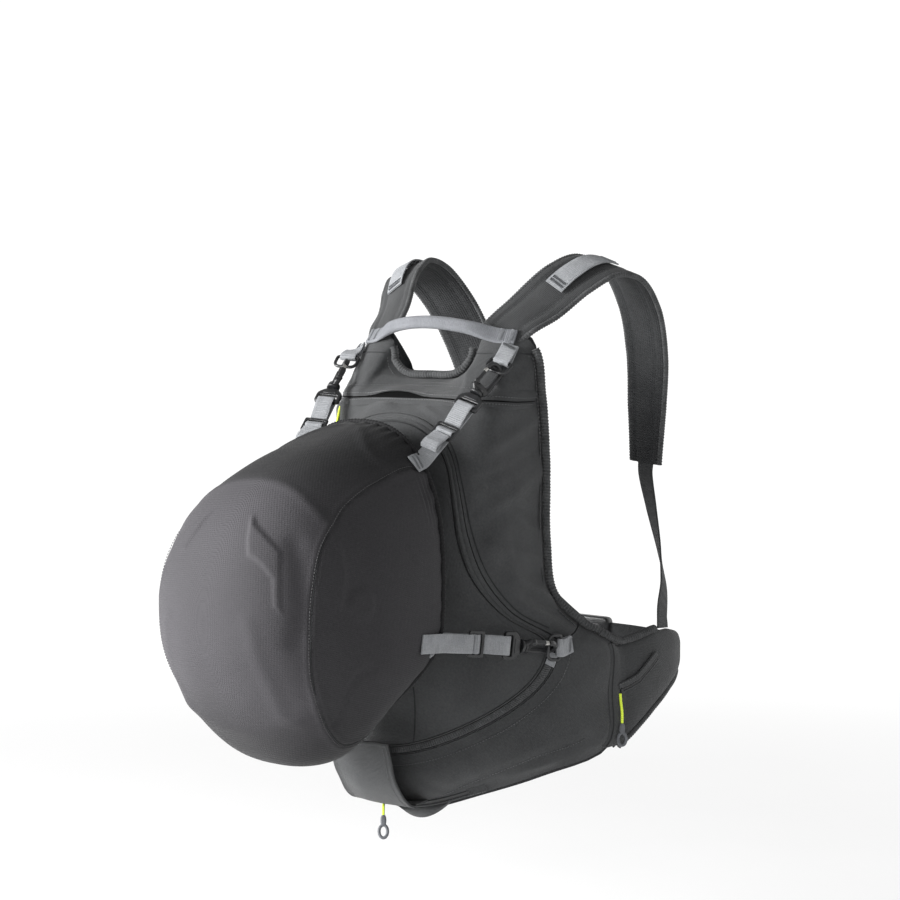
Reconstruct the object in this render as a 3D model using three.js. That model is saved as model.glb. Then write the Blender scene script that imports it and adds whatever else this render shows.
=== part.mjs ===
// A slim motorcycle backpack with a stretch helmet cover clipped to its front.
// Millimetres. +X is the wearer's right, +Y the way the wearer faces, +Z up.
// The origin lies on the padded back panel, between the shoulder blades.
import * as THREE from "three";

// Thicknesses and clearances
const GAP = 0.4;
const CLOTH = 2;
const WEBBING = 1.6;
const PAD = 12;
const RIM = 5;
const BINDING_RADIUS = 4.2;
const BINDING_SIDES = 6;
const BINDING_SEAT = 1.2;

// The two front zips
const ZIP_WIDTH = 12;
const ZIP_THICKNESS = 2.6;
const ZIP_SEAM = ZIP_WIDTH / 2 + GAP;

// The pack's front: its foremost point, how sharply it domes, and how far its side walls bulge
const FRONT_CENTRE = new THREE.Vector3(0, -130, -120);
const FRONT_DOME = 2.2;
const WALL_BULGE = 9;
const BACK_CENTRE = new THREE.Vector3(0, 0, 0);
const BACK_DOME = 3;

// Stations down the right half of the pack, from the top centre to the bottom centre:
// where the front zip runs, and where the cloth ends against the back panel
const STATIONS = [
  { zip: [0, -92, 40], edge: [0, -24, 80] },
  { zip: [32, -93, 36], edge: [38, -24, 83] },
  { zip: [58, -95, 24], edge: [58, -23, 100] },
  { zip: [74, -96, 8], edge: [66, -21, 123] },
  { zip: [84, -97, -10], edge: [90, -13, 130] },
  { zip: [90, -99, -30], edge: [116, -4, 120] },
  { zip: [94, -98, -55], edge: [121, 4, 70] },
  { zip: [98, -95, -85], edge: [124, 8, 0] },
  { zip: [107, -84, -125], edge: [125, 8, -90] },
  { zip: [122, -55, -165], edge: [131, 12, -150] },
  { zip: [145, -2, -203], edge: [150, 36, -183] },
  { zip: [144, -5, -220], edge: [172, 64, -206] },
  { zip: [140, -14, -236], edge: [174, 64, -258] },
  { zip: [132, -28, -252], edge: [172, 61, -316] },
  { zip: [112, -56, -274], edge: [136, -10, -342] },
  { zip: [75, -90, -298], edge: [88, -56, -362] },
  { zip: [38, -110, -312], edge: [42, -79, -378] },
  { zip: [0, -118, -317], edge: [0, -85, -383] },
];
const RING_STATION = 10;
const STATION_SPLIT = 2;
const PANEL_SEAM = 0.02;
const BOTTOM_STATION = STATIONS.length - 1;

// Bound edges, in stations
const SCOOP_END = 2.65;
const SIDE_BINDING = { from: 5.15, to: 10.7, wingFrom: 0.35, wingTo: 2.15 };

// Right waist wing, a row for each section from the pack to the belt: its inner face in plan,
// its upper and lower edges, and its thickness
const WING_ROWS = [
  { x: 170, y: 72.6, top: -208, bottom: -325, thick: 9 },
  { x: 173, y: 98, top: -206, bottom: -308, thick: 15 },
  { x: 174, y: 134, top: -200, bottom: -286, thick: 16 },
  { x: 170, y: 170, top: -201, bottom: -268, thick: 15 },
  { x: 158, y: 204, top: -209, bottom: -257, thick: 12 },
  { x: 138, y: 231, top: -217, bottom: -250, thick: 9 },
];

// Waist belt and its buckle
const BELT_WIDTH = 30;
const BELT_HEIGHT = -234;
const BUCKLE = { width: 64, height: 42, depth: 12, corner: 8, y: 263 };
const BELT_BEND = [[116, 249], [74, 260]];

// Section of a wing: share of its thickness, share of its height. Its top ridge lies a share out
const WING_TOP_SHARE = 0.4;
const WING_SECTION = [
  [0, 0.05], [0, 0.5], [0, 0.95], [0.35, 1], [0.8, 0.9], [1, 0.7], [1, 0.3], [0.8, 0.1], [0.35, 0],
];

// Right shoulder strap, a row for each section from the yoke over the shoulder and down the chest
const STRAP_ROWS = [
  { at: [91, -1, 141.2], side: [0.94, 0.33, -0.05], width: 52 },
  { at: [103, 24, 160], side: [0.93, 0.3, -0.2], width: 56 },
  { at: [121, 58, 189], side: [0.93, 0.15, -0.33], width: 60 },
  { at: [134, 90, 203], side: [0.94, 0, -0.33], width: 62 },
  { at: [140, 128, 196], side: [0.96, -0.1, -0.25], width: 62 },
  { at: [137, 168, 160], side: [0.97, -0.2, -0.1], width: 62 },
  { at: [128, 197, 105], side: [0.97, -0.22, 0], width: 60 },
  { at: [118, 212, 45], side: [0.97, -0.22, 0.05], width: 56 },
  { at: [114, 216, -20], side: [0.97, -0.22, 0.05], width: 46 },
];
const STRAP_THICKNESS = 10;
const SHOULDER_LOOP = { from: 1.55, to: 3.5, width: 25, rise: 3 };
const LOWER_WEBBING = {
  width: 25,
  lead: 12,
  bend: [[122, 216, -70], [142, 204, -118], [164, 181, -156], [177, 158.5, -184]],
  wingRow: 2.62,
};

// Grab handle over the hand hole: right half, from the middle to the sewn end
const HANDLE = {
  middle: [[0, -44, 142], [28, -42, 140], [54, -36, 131]],
  sewnStations: [3.75, 4.75],
  sewnDepth: 11,
  bodyWidth: 15,
  bodyThickness: 9,
  endWidth: 19,
  endThickness: 3.2,
  endRise: 0.8,
  flattening: [0.45, 0.72],
};

// Tongue under the cover: its half width in stations, its sewn depth, and the curve of its middle
// from the seam to the free upper edge, in depth and height. Its sides lie back by the curl
const FLAP = {
  stations: 1,
  sewnDepth: 7,
  curve: [[-118, -373], [-143, -346], [-152, -318], [-158, -300]],
  curl: 5,
};

// Helmet cover, a ring for each row from the hem to the crown. Lean is the share of the hem's
// slant that the ring keeps
const COVER_ROWS = [
  { depth: -148, halfWidth: 114, top: 37, bottom: -284, lean: 1 },
  { depth: -172, halfWidth: 122, top: 33, bottom: -291, lean: 0.72 },
  { depth: -205, halfWidth: 127, top: 22, bottom: -304, lean: 0.42 },
  { depth: -245, halfWidth: 128, top: 9, bottom: -311, lean: 0.12 },
  { depth: -285, halfWidth: 122, top: -8, bottom: -304, lean: 0 },
  { depth: -318, halfWidth: 113, top: -28, bottom: -276, lean: 0 },
  { depth: -344, halfWidth: 98, top: -56, bottom: -243, lean: 0 },
  { depth: -362, halfWidth: 75, top: -88, bottom: -214, lean: 0 },
  { depth: -373, halfWidth: 43, top: -121, bottom: -188, lean: 0 },
  { depth: -377, halfWidth: 0, top: -155, bottom: -155, lean: 0 },
];
const COVER_SQUARENESS = 2.4;
const COVER_CENTRE = new THREE.Vector3(0, -230, -140);
const HEM_SLANT = { from: -180, to: -285, reach: -66 };

// Clip straps, upper and lower on the right: the ring's place, the cover's sewn point as a turn
// round the hem in degrees, the strap's lift off it, the way the strap's face looks, and the ring
// tab's seat on the pack. Left holds what differs in the mirrored clip, which hangs twisted
const HOLDERS = [
  {
    level: "upper",
    ring: [104, -51, 90],
    hemTurn: 46,
    lift: 1.85,
    face: [0.3, -0.7, 0.65],
    seat: { station: 4.48, edgeDepth: 27, height: 4.6 },
    left: {
      ring: [110, -54, 92],
      lift: 3.4,
      face: [-0.3, -0.8, 0.5],
      seat: { station: 4.8, edgeDepth: 26, height: 5 },
    },
  },
  {
    level: "lower",
    ring: [153.2, -20, -203],
    hemTurn: -19,
    lift: 0.6,
    face: [1, -0.3, 0],
    seat: { station: 10, edgeDepth: 28, height: 4.4 },
  },
];
const CLIP_WIDTH = 20;
const TAB_WIDTH = 19;
const HEM_ROW = 0.4;
const SEWN_ROWS = [0, HEM_ROW, 0.75];

// D-ring: half width, height of its bar over its bow, straight part of the bow, wire
const RING = { halfWidth: 13, height: 15, flat: 6.5, wire: 1.8, corner: 2.5 };

// Snap hook, measured down from the ring's bow
const HOOK = {
  eyeCentre: -1.1,
  eyeRadius: 6,
  bar: 4.4,
  noseEnd: -3.4,
  pivotAcross: 8.2,
  pivotDown: -23,
  knuckle: 3,
  shoulder: -29,
  neckHalf: 5.5,
  neckEnd: -36,
  thickness: 6,
  turn: 52,
};

// Strap base under the hook, and the tri-glide
const BASE = {
  top: -36.4,
  shoulder: -43,
  bottom: -57,
  neckHalf: 6.5,
  half: 15,
  slotHalf: 11,
  slotTop: -47,
  slotEnd: -52.5,
  thickness: 5,
};
const GLIDE = {
  top: -82,
  bottom: -101,
  half: 14,
  slotHalf: 10.8,
  bar: 3.4,
  middle: 3,
  thickness: 3,
  corner: 2.5,
};

// Zip pulls: cord and moulded loop end, and where each one hangs
const PULL = { cordRadius: 1.5, cordLength: 32, endLength: 26, endHalfWidth: 4.6, endWire: 2 };
const PULL_HEIGHT = CLOTH + PULL.endWire + 0.7;
const WING_PULL = { position: 0.04, height: -262, stand: 2.1 };
const TOP_PULL = { station: -4.4, above: 75, below: 20 };
const BOTTOM_PULL = [[-14, -95, -381.6], [-8, -102.5, -381.2], [-2.6, -109, -381.6], [0, -112, -390]];

// How finely each piece is faceted
const STEPS = {
  merge: 2000,
  wall: 3,
  wing: 10,
  sideBinding: 36,
  sideBindingPack: 22,
  sideBindingWing: 6,
  scoop: 18,
  belt: 8,
  strap: 18,
  loop: 10,
  webbing: 14,
  handle: 16,
  flapAcross: 6,
  flapUp: 8,
  cover: 32,
  hookArc: 6,
  strapTail: 8,
  wire: 6,
  ringCorner: 2,
  cord: 8,
  cordRun: 4,
  pullBow: 4,
};
const FRONT_SHARES = [0.3, 0.66, 1];
const BACK_SHARES = [0, 0.4, 0.74, 1];

const vector = (values) => new THREE.Vector3(...values);
const mirrored = (point) => new THREE.Vector3(-point.x, point.y, point.z);

// A closed solid gathered face by face, with shared corners merged and empty faces left out
class Facets {
  constructor() {
    this.corners = [];
    this.faces = [];
    this.known = new Map();
  }

  corner(point) {
    const key = point.toArray().map((value) => Math.round(value * STEPS.merge)).join(",");
    if (!this.known.has(key)) {
      this.known.set(key, this.corners.length);
      this.corners.push(point);
    }
    return this.known.get(key);
  }

  triangle(a, b, c) {
    const face = [a, b, c].map((point) => this.corner(point));
    if (new Set(face).size === 3) this.faces.push(face);
  }

  // Split along the shorter diagonal, so that mirrored sides split alike
  quad(a, b, c, d) {
    if (a.distanceTo(c) <= b.distanceTo(d)) {
      this.triangle(a, b, c);
      this.triangle(a, c, d);
    } else {
      this.triangle(b, c, d);
      this.triangle(b, d, a);
    }
  }

  volume() {
    const cross = new THREE.Vector3();
    return this.faces.reduce((sum, [a, b, c]) => {
      cross.crossVectors(this.corners[b], this.corners[c]);
      return sum + this.corners[a].dot(cross);
    }, 0);
  }

  geometry() {
    const outward = this.volume() > 0;
    const index = this.faces.flatMap(([a, b, c]) => (outward ? [a, b, c] : [a, c, b]));
    const geometry = new THREE.BufferGeometry();
    const positions = this.corners.flatMap((point) => point.toArray());
    geometry.setAttribute("position", new THREE.Float32BufferAttribute(positions, 3));
    geometry.setIndex(index);
    geometry.computeVertexNormals();
    return geometry;
  }
}

// A wall between two grids of points, closed round its columns or open
function wall(inner, outer, closed) {
  const solid = new Facets();
  const rows = inner.length;
  const columns = inner[0].length;
  const spans = closed ? columns : columns - 1;
  for (let r = 0; r < rows - 1; r += 1) {
    for (let c = 0; c < spans; c += 1) {
      const next = (c + 1) % columns;
      solid.quad(outer[r][c], outer[r][next], outer[r + 1][next], outer[r + 1][c]);
      solid.quad(inner[r][c], inner[r + 1][c], inner[r + 1][next], inner[r][next]);
    }
    if (!closed) {
      const end = columns - 1;
      solid.quad(outer[r][0], outer[r + 1][0], inner[r + 1][0], inner[r][0]);
      solid.quad(outer[r][end], inner[r][end], inner[r + 1][end], outer[r + 1][end]);
    }
  }
  for (let c = 0; c < spans; c += 1) {
    const next = (c + 1) % columns;
    const last = rows - 1;
    solid.quad(outer[0][c], inner[0][c], inner[0][next], outer[0][next]);
    solid.quad(outer[last][c], outer[last][next], inner[last][next], inner[last][c]);
  }
  return solid.geometry();
}

// A solid through a row of rings, capped at its ends or closed on itself
function loft(rings, closed = false) {
  const solid = new Facets();
  const spans = closed ? rings.length : rings.length - 1;
  for (let r = 0; r < spans; r += 1) {
    const ring = rings[r];
    const after = rings[(r + 1) % rings.length];
    ring.forEach((point, c) => {
      const next = (c + 1) % ring.length;
      solid.quad(point, ring[next], after[next], after[c]);
    });
  }
  if (!closed) {
    const first = rings[0];
    const last = rings[rings.length - 1];
    first.forEach((point, c) => {
      const next = (c + 1) % first.length;
      solid.triangle(middle(first), first[next], point);
      solid.triangle(middle(last), last[c], last[next]);
    });
  }
  return solid.geometry();
}

function middle(points) {
  const sum = points.reduce((total, point) => total.add(point), new THREE.Vector3());
  return sum.divideScalar(points.length);
}

// Rings of a profile carried along a path. Each profile point is [along the side, along the face]
function carry(path, sideAt, profileAt, closed = false) {
  const count = path.length;
  return path.map((point, i) => {
    const before = closed ? path[(i + count - 1) % count] : path[Math.max(i - 1, 0)];
    const after = closed ? path[(i + 1) % count] : path[Math.min(i + 1, count - 1)];
    const tangent = after.clone().sub(before).normalize();
    const side = sideAt(i).clone();
    side.addScaledVector(tangent, -side.dot(tangent)).normalize();
    const face = new THREE.Vector3().crossVectors(tangent, side);
    return profileAt(i).map(([a, b]) => (
      point.clone().addScaledVector(side, a).addScaledVector(face, b)
    ));
  });
}

function band(width, thickness) {
  const [w, t] = [width / 2, thickness / 2];
  return [[w, -t], [w, t], [-w, t], [-w, -t]];
}

function roundBand(width, thickness) {
  const [w, t] = [width / 2, thickness / 2];
  return [[w, 0], [w - t * 0.3, t * 0.7], [w - t, t], [t - w, t], [t * 0.3 - w, t * 0.7],
    [-w, 0], [t * 0.3 - w, -t * 0.7], [t - w, -t], [w - t, -t], [w - t * 0.3, -t * 0.7]];
}

function circle(radius, sides) {
  return Array.from({ length: sides }, (_, i) => {
    const angle = (2 * Math.PI * i) / sides;
    return [radius * Math.cos(angle), radius * Math.sin(angle)];
  });
}

function range(from, to, steps) {
  return Array.from({ length: steps + 1 }, (_, i) => from + ((to - from) * i) / steps);
}

function smooth(points, steps) {
  return new THREE.CatmullRomCurve3(points).getPoints(steps);
}

function strip(path, sideAt, width, thickness) {
  const profile = band(width, thickness);
  return loft(carry(path, sideAt, () => profile));
}

function tube(path, radius, sides, sideHint) {
  const profile = circle(radius, sides);
  return loft(carry(path, () => sideHint, () => profile));
}

// The value of a table's column between two rows
function between(rows, column, position) {
  const low = Math.min(Math.floor(position), rows.length - 2);
  return THREE.MathUtils.lerp(rows[low][column], rows[low + 1][column], position - low);
}

// Colours and finishes
const FINISHES = {
  cloth: { color: 0x47484a, roughness: 0.9 },
  stretch: { color: 0x4a494c, roughness: 0.8 },
  webbing: { color: 0xa3a5a8, roughness: 0.85 },
  harness: { color: 0x3a3b3d, roughness: 0.9 },
  plastic: { color: 0x17181a, roughness: 0.45 },
  zip: { color: 0x1d1e20, roughness: 0.7 },
  cord: { color: 0xd3ec3c, roughness: 0.7 },
  rubber: { color: 0x8b8d90, roughness: 0.6 },
};

const backpack = new THREE.Group();

function place(name, geometry, finish, parent = backpack) {
  const material = new THREE.MeshStandardMaterial({ metalness: 0, ...FINISHES[finish] });
  const mesh = new THREE.Mesh(geometry, material);
  mesh.name = name;
  parent.add(mesh);
}

// Pieces are shaped for the right side, and mirrored for the left
function mirroredGeometry(geometry) {
  const copy = geometry.index ? geometry.toNonIndexed() : geometry.clone();
  copy.scale(-1, 1, 1);
  const positions = copy.getAttribute("position");
  const corner = new THREE.Vector3();
  const other = new THREE.Vector3();
  for (let i = 0; i < positions.count; i += 3) {
    corner.fromBufferAttribute(positions, i + 1);
    other.fromBufferAttribute(positions, i + 2);
    positions.setXYZ(i + 1, ...other);
    positions.setXYZ(i + 2, ...corner);
  }
  copy.computeVertexNormals();
  return copy;
}

function placePair(name, geometry, finish) {
  place(`${name}_right`, geometry, finish);
  place(`${name}_left`, mirroredGeometry(geometry), finish);
}

// The pack's cloth surface
function closedLoop(column) {
  const right = STATIONS.map((row) => vector(row[column]));
  const left = right.slice(1, BOTTOM_STATION).reverse().map(mirrored);
  return new THREE.CatmullRomCurve3([...right, ...left], true);
}

const zipLoop = closedLoop("zip");
const edgeLoop = closedLoop("edge");
const LAPS = 2 * BOTTOM_STATION;

function lap(station) {
  return THREE.MathUtils.euclideanModulo(station, LAPS) / LAPS;
}

function wallLength(station) {
  return zipLoop.getPoint(lap(station)).distanceTo(edgeLoop.getPoint(lap(station)));
}

function frontLength(station) {
  return zipLoop.getPoint(lap(station)).distanceTo(FRONT_CENTRE);
}

// A point of the cloth, by its distance from the front zip: negative towards the middle of the front
function clothPoint(station, distance) {
  const zip = zipLoop.getPoint(lap(station));
  if (distance <= 0) {
    const run = 1 + distance / frontLength(station);
    const point = FRONT_CENTRE.clone().lerp(zip, run);
    point.y = FRONT_CENTRE.y + (zip.y - FRONT_CENTRE.y) * run ** FRONT_DOME;
    return point;
  }
  const edge = edgeLoop.getPoint(lap(station));
  const run = distance / wallLength(station);
  const halfway = zip.clone().lerp(edge, 0.5);
  const outward = new THREE.Vector3(halfway.x, halfway.y - PAD, 0).normalize();
  return zip.lerp(edge, run).addScaledVector(outward, WALL_BULGE * Math.sin(Math.PI * run));
}

function clothNormal(station, distance) {
  const stationStep = 0.05;
  const distanceStep = 1;
  const along = clothPoint(station + stationStep, distance);
  along.sub(clothPoint(station - stationStep, distance));
  const across = clothPoint(station, distance + distanceStep);
  across.sub(clothPoint(station, distance - distanceStep));
  return along.cross(across).normalize();
}

function onCloth(station, distance, height) {
  return clothPoint(station, distance).addScaledVector(clothNormal(station, distance), height);
}

// The direction in which the cloth runs into the back panel
function edgeDirection(station) {
  const length = wallLength(station);
  return clothPoint(station, length).sub(clothPoint(station, length - 1)).normalize();
}

// A cloth panel between two distances from the zip, over a run of stations
function clothPanel(stations, closed, rowsAt, thickness) {
  const rowCount = rowsAt(stations[0]).length;
  const grid = (height) => Array.from({ length: rowCount }, (_, row) => (
    stations.map((station) => onCloth(station, rowsAt(station)[row], height))
  ));
  return wall(grid(0), grid(thickness), closed);
}

// Every panel uses the same stations, so that neighbouring edges match
function stationRun(from, to) {
  const run = range(from, to, Math.round((to - from) * STATION_SPLIT));
  run[0] += PANEL_SEAM;
  run[run.length - 1] -= PANEL_SEAM;
  return run;
}

const frontStations = range(0, LAPS, LAPS * STATION_SPLIT).slice(0, -1);
const upperStations = stationRun(-RING_STATION, RING_STATION);
const lowerStations = stationRun(RING_STATION, LAPS - RING_STATION);
const zipRows = () => [-ZIP_WIDTH / 2, ZIP_WIDTH / 2];
const wallRows = (station) => range(ZIP_SEAM, wallLength(station), STEPS.wall);

// The front panel narrows to a point at the middle of the front
function frontPanel() {
  const grid = (height) => [
    frontStations.map(() => FRONT_CENTRE.clone().add(new THREE.Vector3(0, -height, 0))),
    ...FRONT_SHARES.map((share) => frontStations.map((station) => {
      const length = frontLength(station);
      return onCloth(station, -length + share * (length - ZIP_SEAM), height);
    })),
  ];
  return wall(grid(0), grid(CLOTH), true);
}

// The padded back panel closes the cloth's edge all round
function backPanel() {
  const face = (edgeOffset, middleY) => BACK_SHARES.map((share) => frontStations.map((station) => {
    const edge = edgeLoop.getPoint(lap(station));
    edge.addScaledVector(edgeDirection(station), edgeOffset);
    const point = BACK_CENTRE.clone().setY(middleY).lerp(edge, share);
    point.y = middleY + (edge.y - middleY) * share ** BACK_DOME;
    return point;
  }));
  return wall(face(GAP, -PAD), face(GAP + RIM, BACK_CENTRE.y), true);
}

place("front_panel", frontPanel(), "cloth");
place("yoke_body", clothPanel(upperStations, false, wallRows, CLOTH), "cloth");
place("lower_band", clothPanel(lowerStations, false, wallRows, CLOTH), "cloth");
place("zip_arch", clothPanel(upperStations, false, zipRows, ZIP_THICKNESS), "zip");
place("zip_lower", clothPanel(lowerStations, false, zipRows, ZIP_THICKNESS), "zip");
place("back_panel", backPanel(), "cloth");

// Bound edges: a roll that lies on the cloth beside its edge
function bindingPoint(station) {
  const height = CLOTH + BINDING_SEAT + BINDING_RADIUS;
  return onCloth(station, wallLength(station) - BINDING_RADIUS, height);
}

// The right waist wing
function wingAlong(position) {
  const low = Math.min(Math.floor(position), WING_ROWS.length - 2);
  const ahead = WING_ROWS[low + 1];
  const behind = WING_ROWS[low];
  return new THREE.Vector3(ahead.x - behind.x, ahead.y - behind.y, 0).normalize();
}

function wingAcross(position) {
  const along = wingAlong(position);
  return new THREE.Vector3(along.y, -along.x, 0);
}

function wingPoint(position, thickShare, height) {
  const column = (name) => between(WING_ROWS, name, position);
  const point = new THREE.Vector3(column("x"), column("y"), height);
  return point.addScaledVector(wingAcross(position), thickShare * column("thick"));
}

function wingTop(position, above) {
  return wingPoint(position, WING_TOP_SHARE, between(WING_ROWS, "top", position) + above);
}

function waistWing() {
  const positions = range(0, WING_ROWS.length - 1, STEPS.wing);
  const rings = positions.map((position) => WING_SECTION.map(([thick, rise]) => {
    const bottom = between(WING_ROWS, "bottom", position);
    const top = between(WING_ROWS, "top", position);
    return wingPoint(position, thick, THREE.MathUtils.lerp(bottom, top, rise));
  }));
  return loft(rings);
}

function sideBinding() {
  const { from, to, wingFrom, wingTo } = SIDE_BINDING;
  const packRun = range(from, to, STEPS.sideBindingPack).map(bindingPoint);
  const wingRun = range(wingFrom, wingTo, STEPS.sideBindingWing).map((position) => (
    wingTop(position, BINDING_RADIUS + GAP)
  ));
  const path = smooth([...packRun, ...wingRun], STEPS.sideBinding);
  return tube(path, BINDING_RADIUS, BINDING_SIDES, new THREE.Vector3(1, -1, 0.3));
}

const scoopPath = range(-SCOOP_END, SCOOP_END, STEPS.scoop).map(bindingPoint);
const scoopSide = new THREE.Vector3(0, -1, 0.2);
place("scoop_binding", tube(scoopPath, BINDING_RADIUS, BINDING_SIDES, scoopSide), "cloth");

// Waist belt: webbing round the front to a plain buckle
function waistBelt() {
  const endRow = WING_ROWS.length - 1;
  const start = wingPoint(endRow, 0.5, BELT_HEIGHT);
  start.addScaledVector(wingAlong(endRow), 2 * GAP);
  const bends = BELT_BEND.map(([x, y]) => new THREE.Vector3(x, y, BELT_HEIGHT));
  const end = new THREE.Vector3(BUCKLE.width / 2 + GAP, BUCKLE.y, BELT_HEIGHT);
  const path = smooth([start, ...bends, end], STEPS.belt);
  return strip(path, () => new THREE.Vector3(0, 0, 1), BELT_WIDTH, CLOTH);
}

function roundedShape(width, height, corner) {
  const [w, h] = [width / 2, height / 2];
  const shape = new THREE.Shape();
  shape.moveTo(-w + corner, -h);
  shape.lineTo(w - corner, -h);
  shape.absarc(w - corner, -h + corner, corner, -Math.PI / 2, 0);
  shape.lineTo(w, h - corner);
  shape.absarc(w - corner, h - corner, corner, 0, Math.PI / 2);
  shape.lineTo(-w + corner, h);
  shape.absarc(-w + corner, h - corner, corner, Math.PI / 2, Math.PI);
  shape.lineTo(-w, -h + corner);
  shape.absarc(-w + corner, -h + corner, corner, Math.PI, 1.5 * Math.PI);
  return shape;
}

// A flat outline given across and up, made thick along the face and centred on it
function slab(shape, thickness, curveSegments = 2) {
  const options = { depth: thickness, bevelEnabled: false, curveSegments };
  const geometry = new THREE.ExtrudeGeometry(shape, options);
  geometry.translate(0, 0, -thickness / 2);
  geometry.rotateX(Math.PI / 2);
  return geometry;
}

const buckle = slab(roundedShape(BUCKLE.width, BUCKLE.height, BUCKLE.corner), BUCKLE.depth);
place("waist_buckle", buckle.translate(0, BUCKLE.y, BELT_HEIGHT), "plastic");

// Shoulder straps and what is sewn to them
function strapColumn(column) {
  return new THREE.CatmullRomCurve3(STRAP_ROWS.map((row) => vector(row[column])));
}

const strapLine = strapColumn("at");
const strapSides = strapColumn("side");
const STRAP_LAST = STRAP_ROWS.length - 1;

function strapFace(position) {
  const tangent = strapLine.getTangent(position / STRAP_LAST);
  const side = strapSides.getPoint(position / STRAP_LAST);
  return new THREE.Vector3().crossVectors(tangent, side).normalize();
}

function shoulderStrap() {
  const positions = range(0, STRAP_LAST, STEPS.strap);
  const path = positions.map((position) => strapLine.getPoint(position / STRAP_LAST));
  const sideAt = (i) => strapSides.getPoint(positions[i] / STRAP_LAST);
  const profileAt = (i) => roundBand(between(STRAP_ROWS, "width", positions[i]), STRAP_THICKNESS);
  return loft(carry(path, sideAt, profileAt));
}

function shoulderLoop() {
  const height = STRAP_THICKNESS / 2 + 2 * GAP + WEBBING / 2;
  const positions = range(SHOULDER_LOOP.from, SHOULDER_LOOP.to, STEPS.loop);
  const path = positions.map((position, i) => {
    const rise = height + SHOULDER_LOOP.rise * Math.sin((Math.PI * i) / STEPS.loop);
    return strapLine.getPoint(position / STRAP_LAST).addScaledVector(strapFace(position), -rise);
  });
  const sideAt = (i) => strapSides.getPoint(positions[i] / STRAP_LAST);
  return strip(path, sideAt, SHOULDER_LOOP.width, WEBBING);
}

function lowerWebbing() {
  const last = STRAP_ROWS[STRAP_LAST];
  const tangent = strapLine.getTangent(1);
  const start = vector(last.at).addScaledVector(tangent, GAP);
  const lead = vector(last.at).addScaledVector(tangent, LOWER_WEBBING.lead);
  const row = LOWER_WEBBING.wingRow;
  const end = wingTop(row, 2 * GAP);
  const bends = LOWER_WEBBING.bend.map(vector);
  const path = [start, ...smooth([lead, ...bends, end], STEPS.webbing - 1)];
  const endSide = wingAlong(row).negate();
  const sideAt = (i) => vector(last.side).lerp(endSide, i / STEPS.webbing);
  return strip(path, sideAt, LOWER_WEBBING.width, CLOTH);
}

placePair("edge_binding", sideBinding(), "cloth");
placePair("waist_wing", waistWing(), "cloth");
placePair("waist_belt", waistBelt(), "harness");
placePair("shoulder_strap", shoulderStrap(), "harness");
placePair("strap_loop", shoulderLoop(), "webbing");
placePair("strap_webbing", lowerWebbing(), "harness");

// Grab handle: a stuffed webbing roll, flat where it is sewn to the yoke
function grabHandle() {
  const sewnHeight = CLOTH + GAP + HANDLE.endThickness / 2 + HANDLE.endRise;
  const sewn = HANDLE.sewnStations.map((station) => (
    onCloth(station, wallLength(station) - HANDLE.sewnDepth, sewnHeight)
  ));
  const right = [...HANDLE.middle.map(vector), ...sewn];
  const left = right.slice(1).reverse().map(mirrored);
  const path = smooth([...left, ...right], STEPS.handle);
  const [rollEnd, flatStart] = HANDLE.flattening;
  const reach = (i) => Math.abs((2 * i) / STEPS.handle - 1);
  const flatness = (i) => THREE.MathUtils.smoothstep(reach(i), rollEnd, flatStart);
  const upright = new THREE.Vector3(0, 0.35, 1);
  const rightSide = edgeDirection(HANDLE.sewnStations[1]);
  const leftSide = mirrored(rightSide);
  const sideAt = (i) => (
    upright.clone().lerp(2 * i < STEPS.handle ? leftSide : rightSide, flatness(i))
  );
  const profileAt = (i) => {
    const flat = flatness(i);
    const width = THREE.MathUtils.lerp(HANDLE.bodyWidth, HANDLE.endWidth, flat);
    const thickness = THREE.MathUtils.lerp(HANDLE.bodyThickness, HANDLE.endThickness, flat);
    return roundBand(width, thickness);
  };
  return loft(carry(path, sideAt, profileAt));
}

place("grab_handle", grabHandle(), "webbing");

// Tongue: from the lower band's bottom edge out and up to its free edge under the cover
function lowerFlap() {
  const half = FLAP.stations;
  const stations = range(BOTTOM_STATION - half, BOTTOM_STATION + half, STEPS.flapAcross);
  const columns = stations.map((station) => {
    const sewn = onCloth(station, wallLength(station) - FLAP.sewnDepth, CLOTH + GAP);
    const curl = FLAP.curl * ((station - BOTTOM_STATION) / half) ** 2;
    const curve = FLAP.curve.map(([y, z]) => new THREE.Vector3(sewn.x, y + curl, z));
    return smooth([sewn, ...curve], STEPS.flapUp);
  });
  const grid = columns[0].map((_, row) => columns.map((column) => column[row]));
  return wall(grid, thickened(grid, CLOTH, false, BACK_CENTRE), false);
}

// A grid moved along its own normals, away from a centre or towards it
function thickened(grid, distance, closed, centre) {
  const rows = grid.length;
  const columns = grid[0].length;
  const clamp = (value, end) => THREE.MathUtils.clamp(value, 0, end);
  const column = (c) => (closed ? (c + columns) % columns : clamp(c, columns - 1));
  return grid.map((row, r) => row.map((point, c) => {
    const down = grid[clamp(r + 1, rows - 1)][c].clone().sub(grid[clamp(r - 1, rows - 1)][c]);
    const across = row[column(c + 1)].clone().sub(row[column(c - 1)]);
    const outward = point.clone().sub(centre).normalize();
    const normal = down.cross(across).normalize();
    const facing = normal.dot(outward);
    const direction = facing === 0 ? outward : normal.multiplyScalar(Math.sign(facing));
    return point.clone().addScaledVector(direction, distance);
  }));
}

place("lower_flap", lowerFlap(), "cloth");

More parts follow.
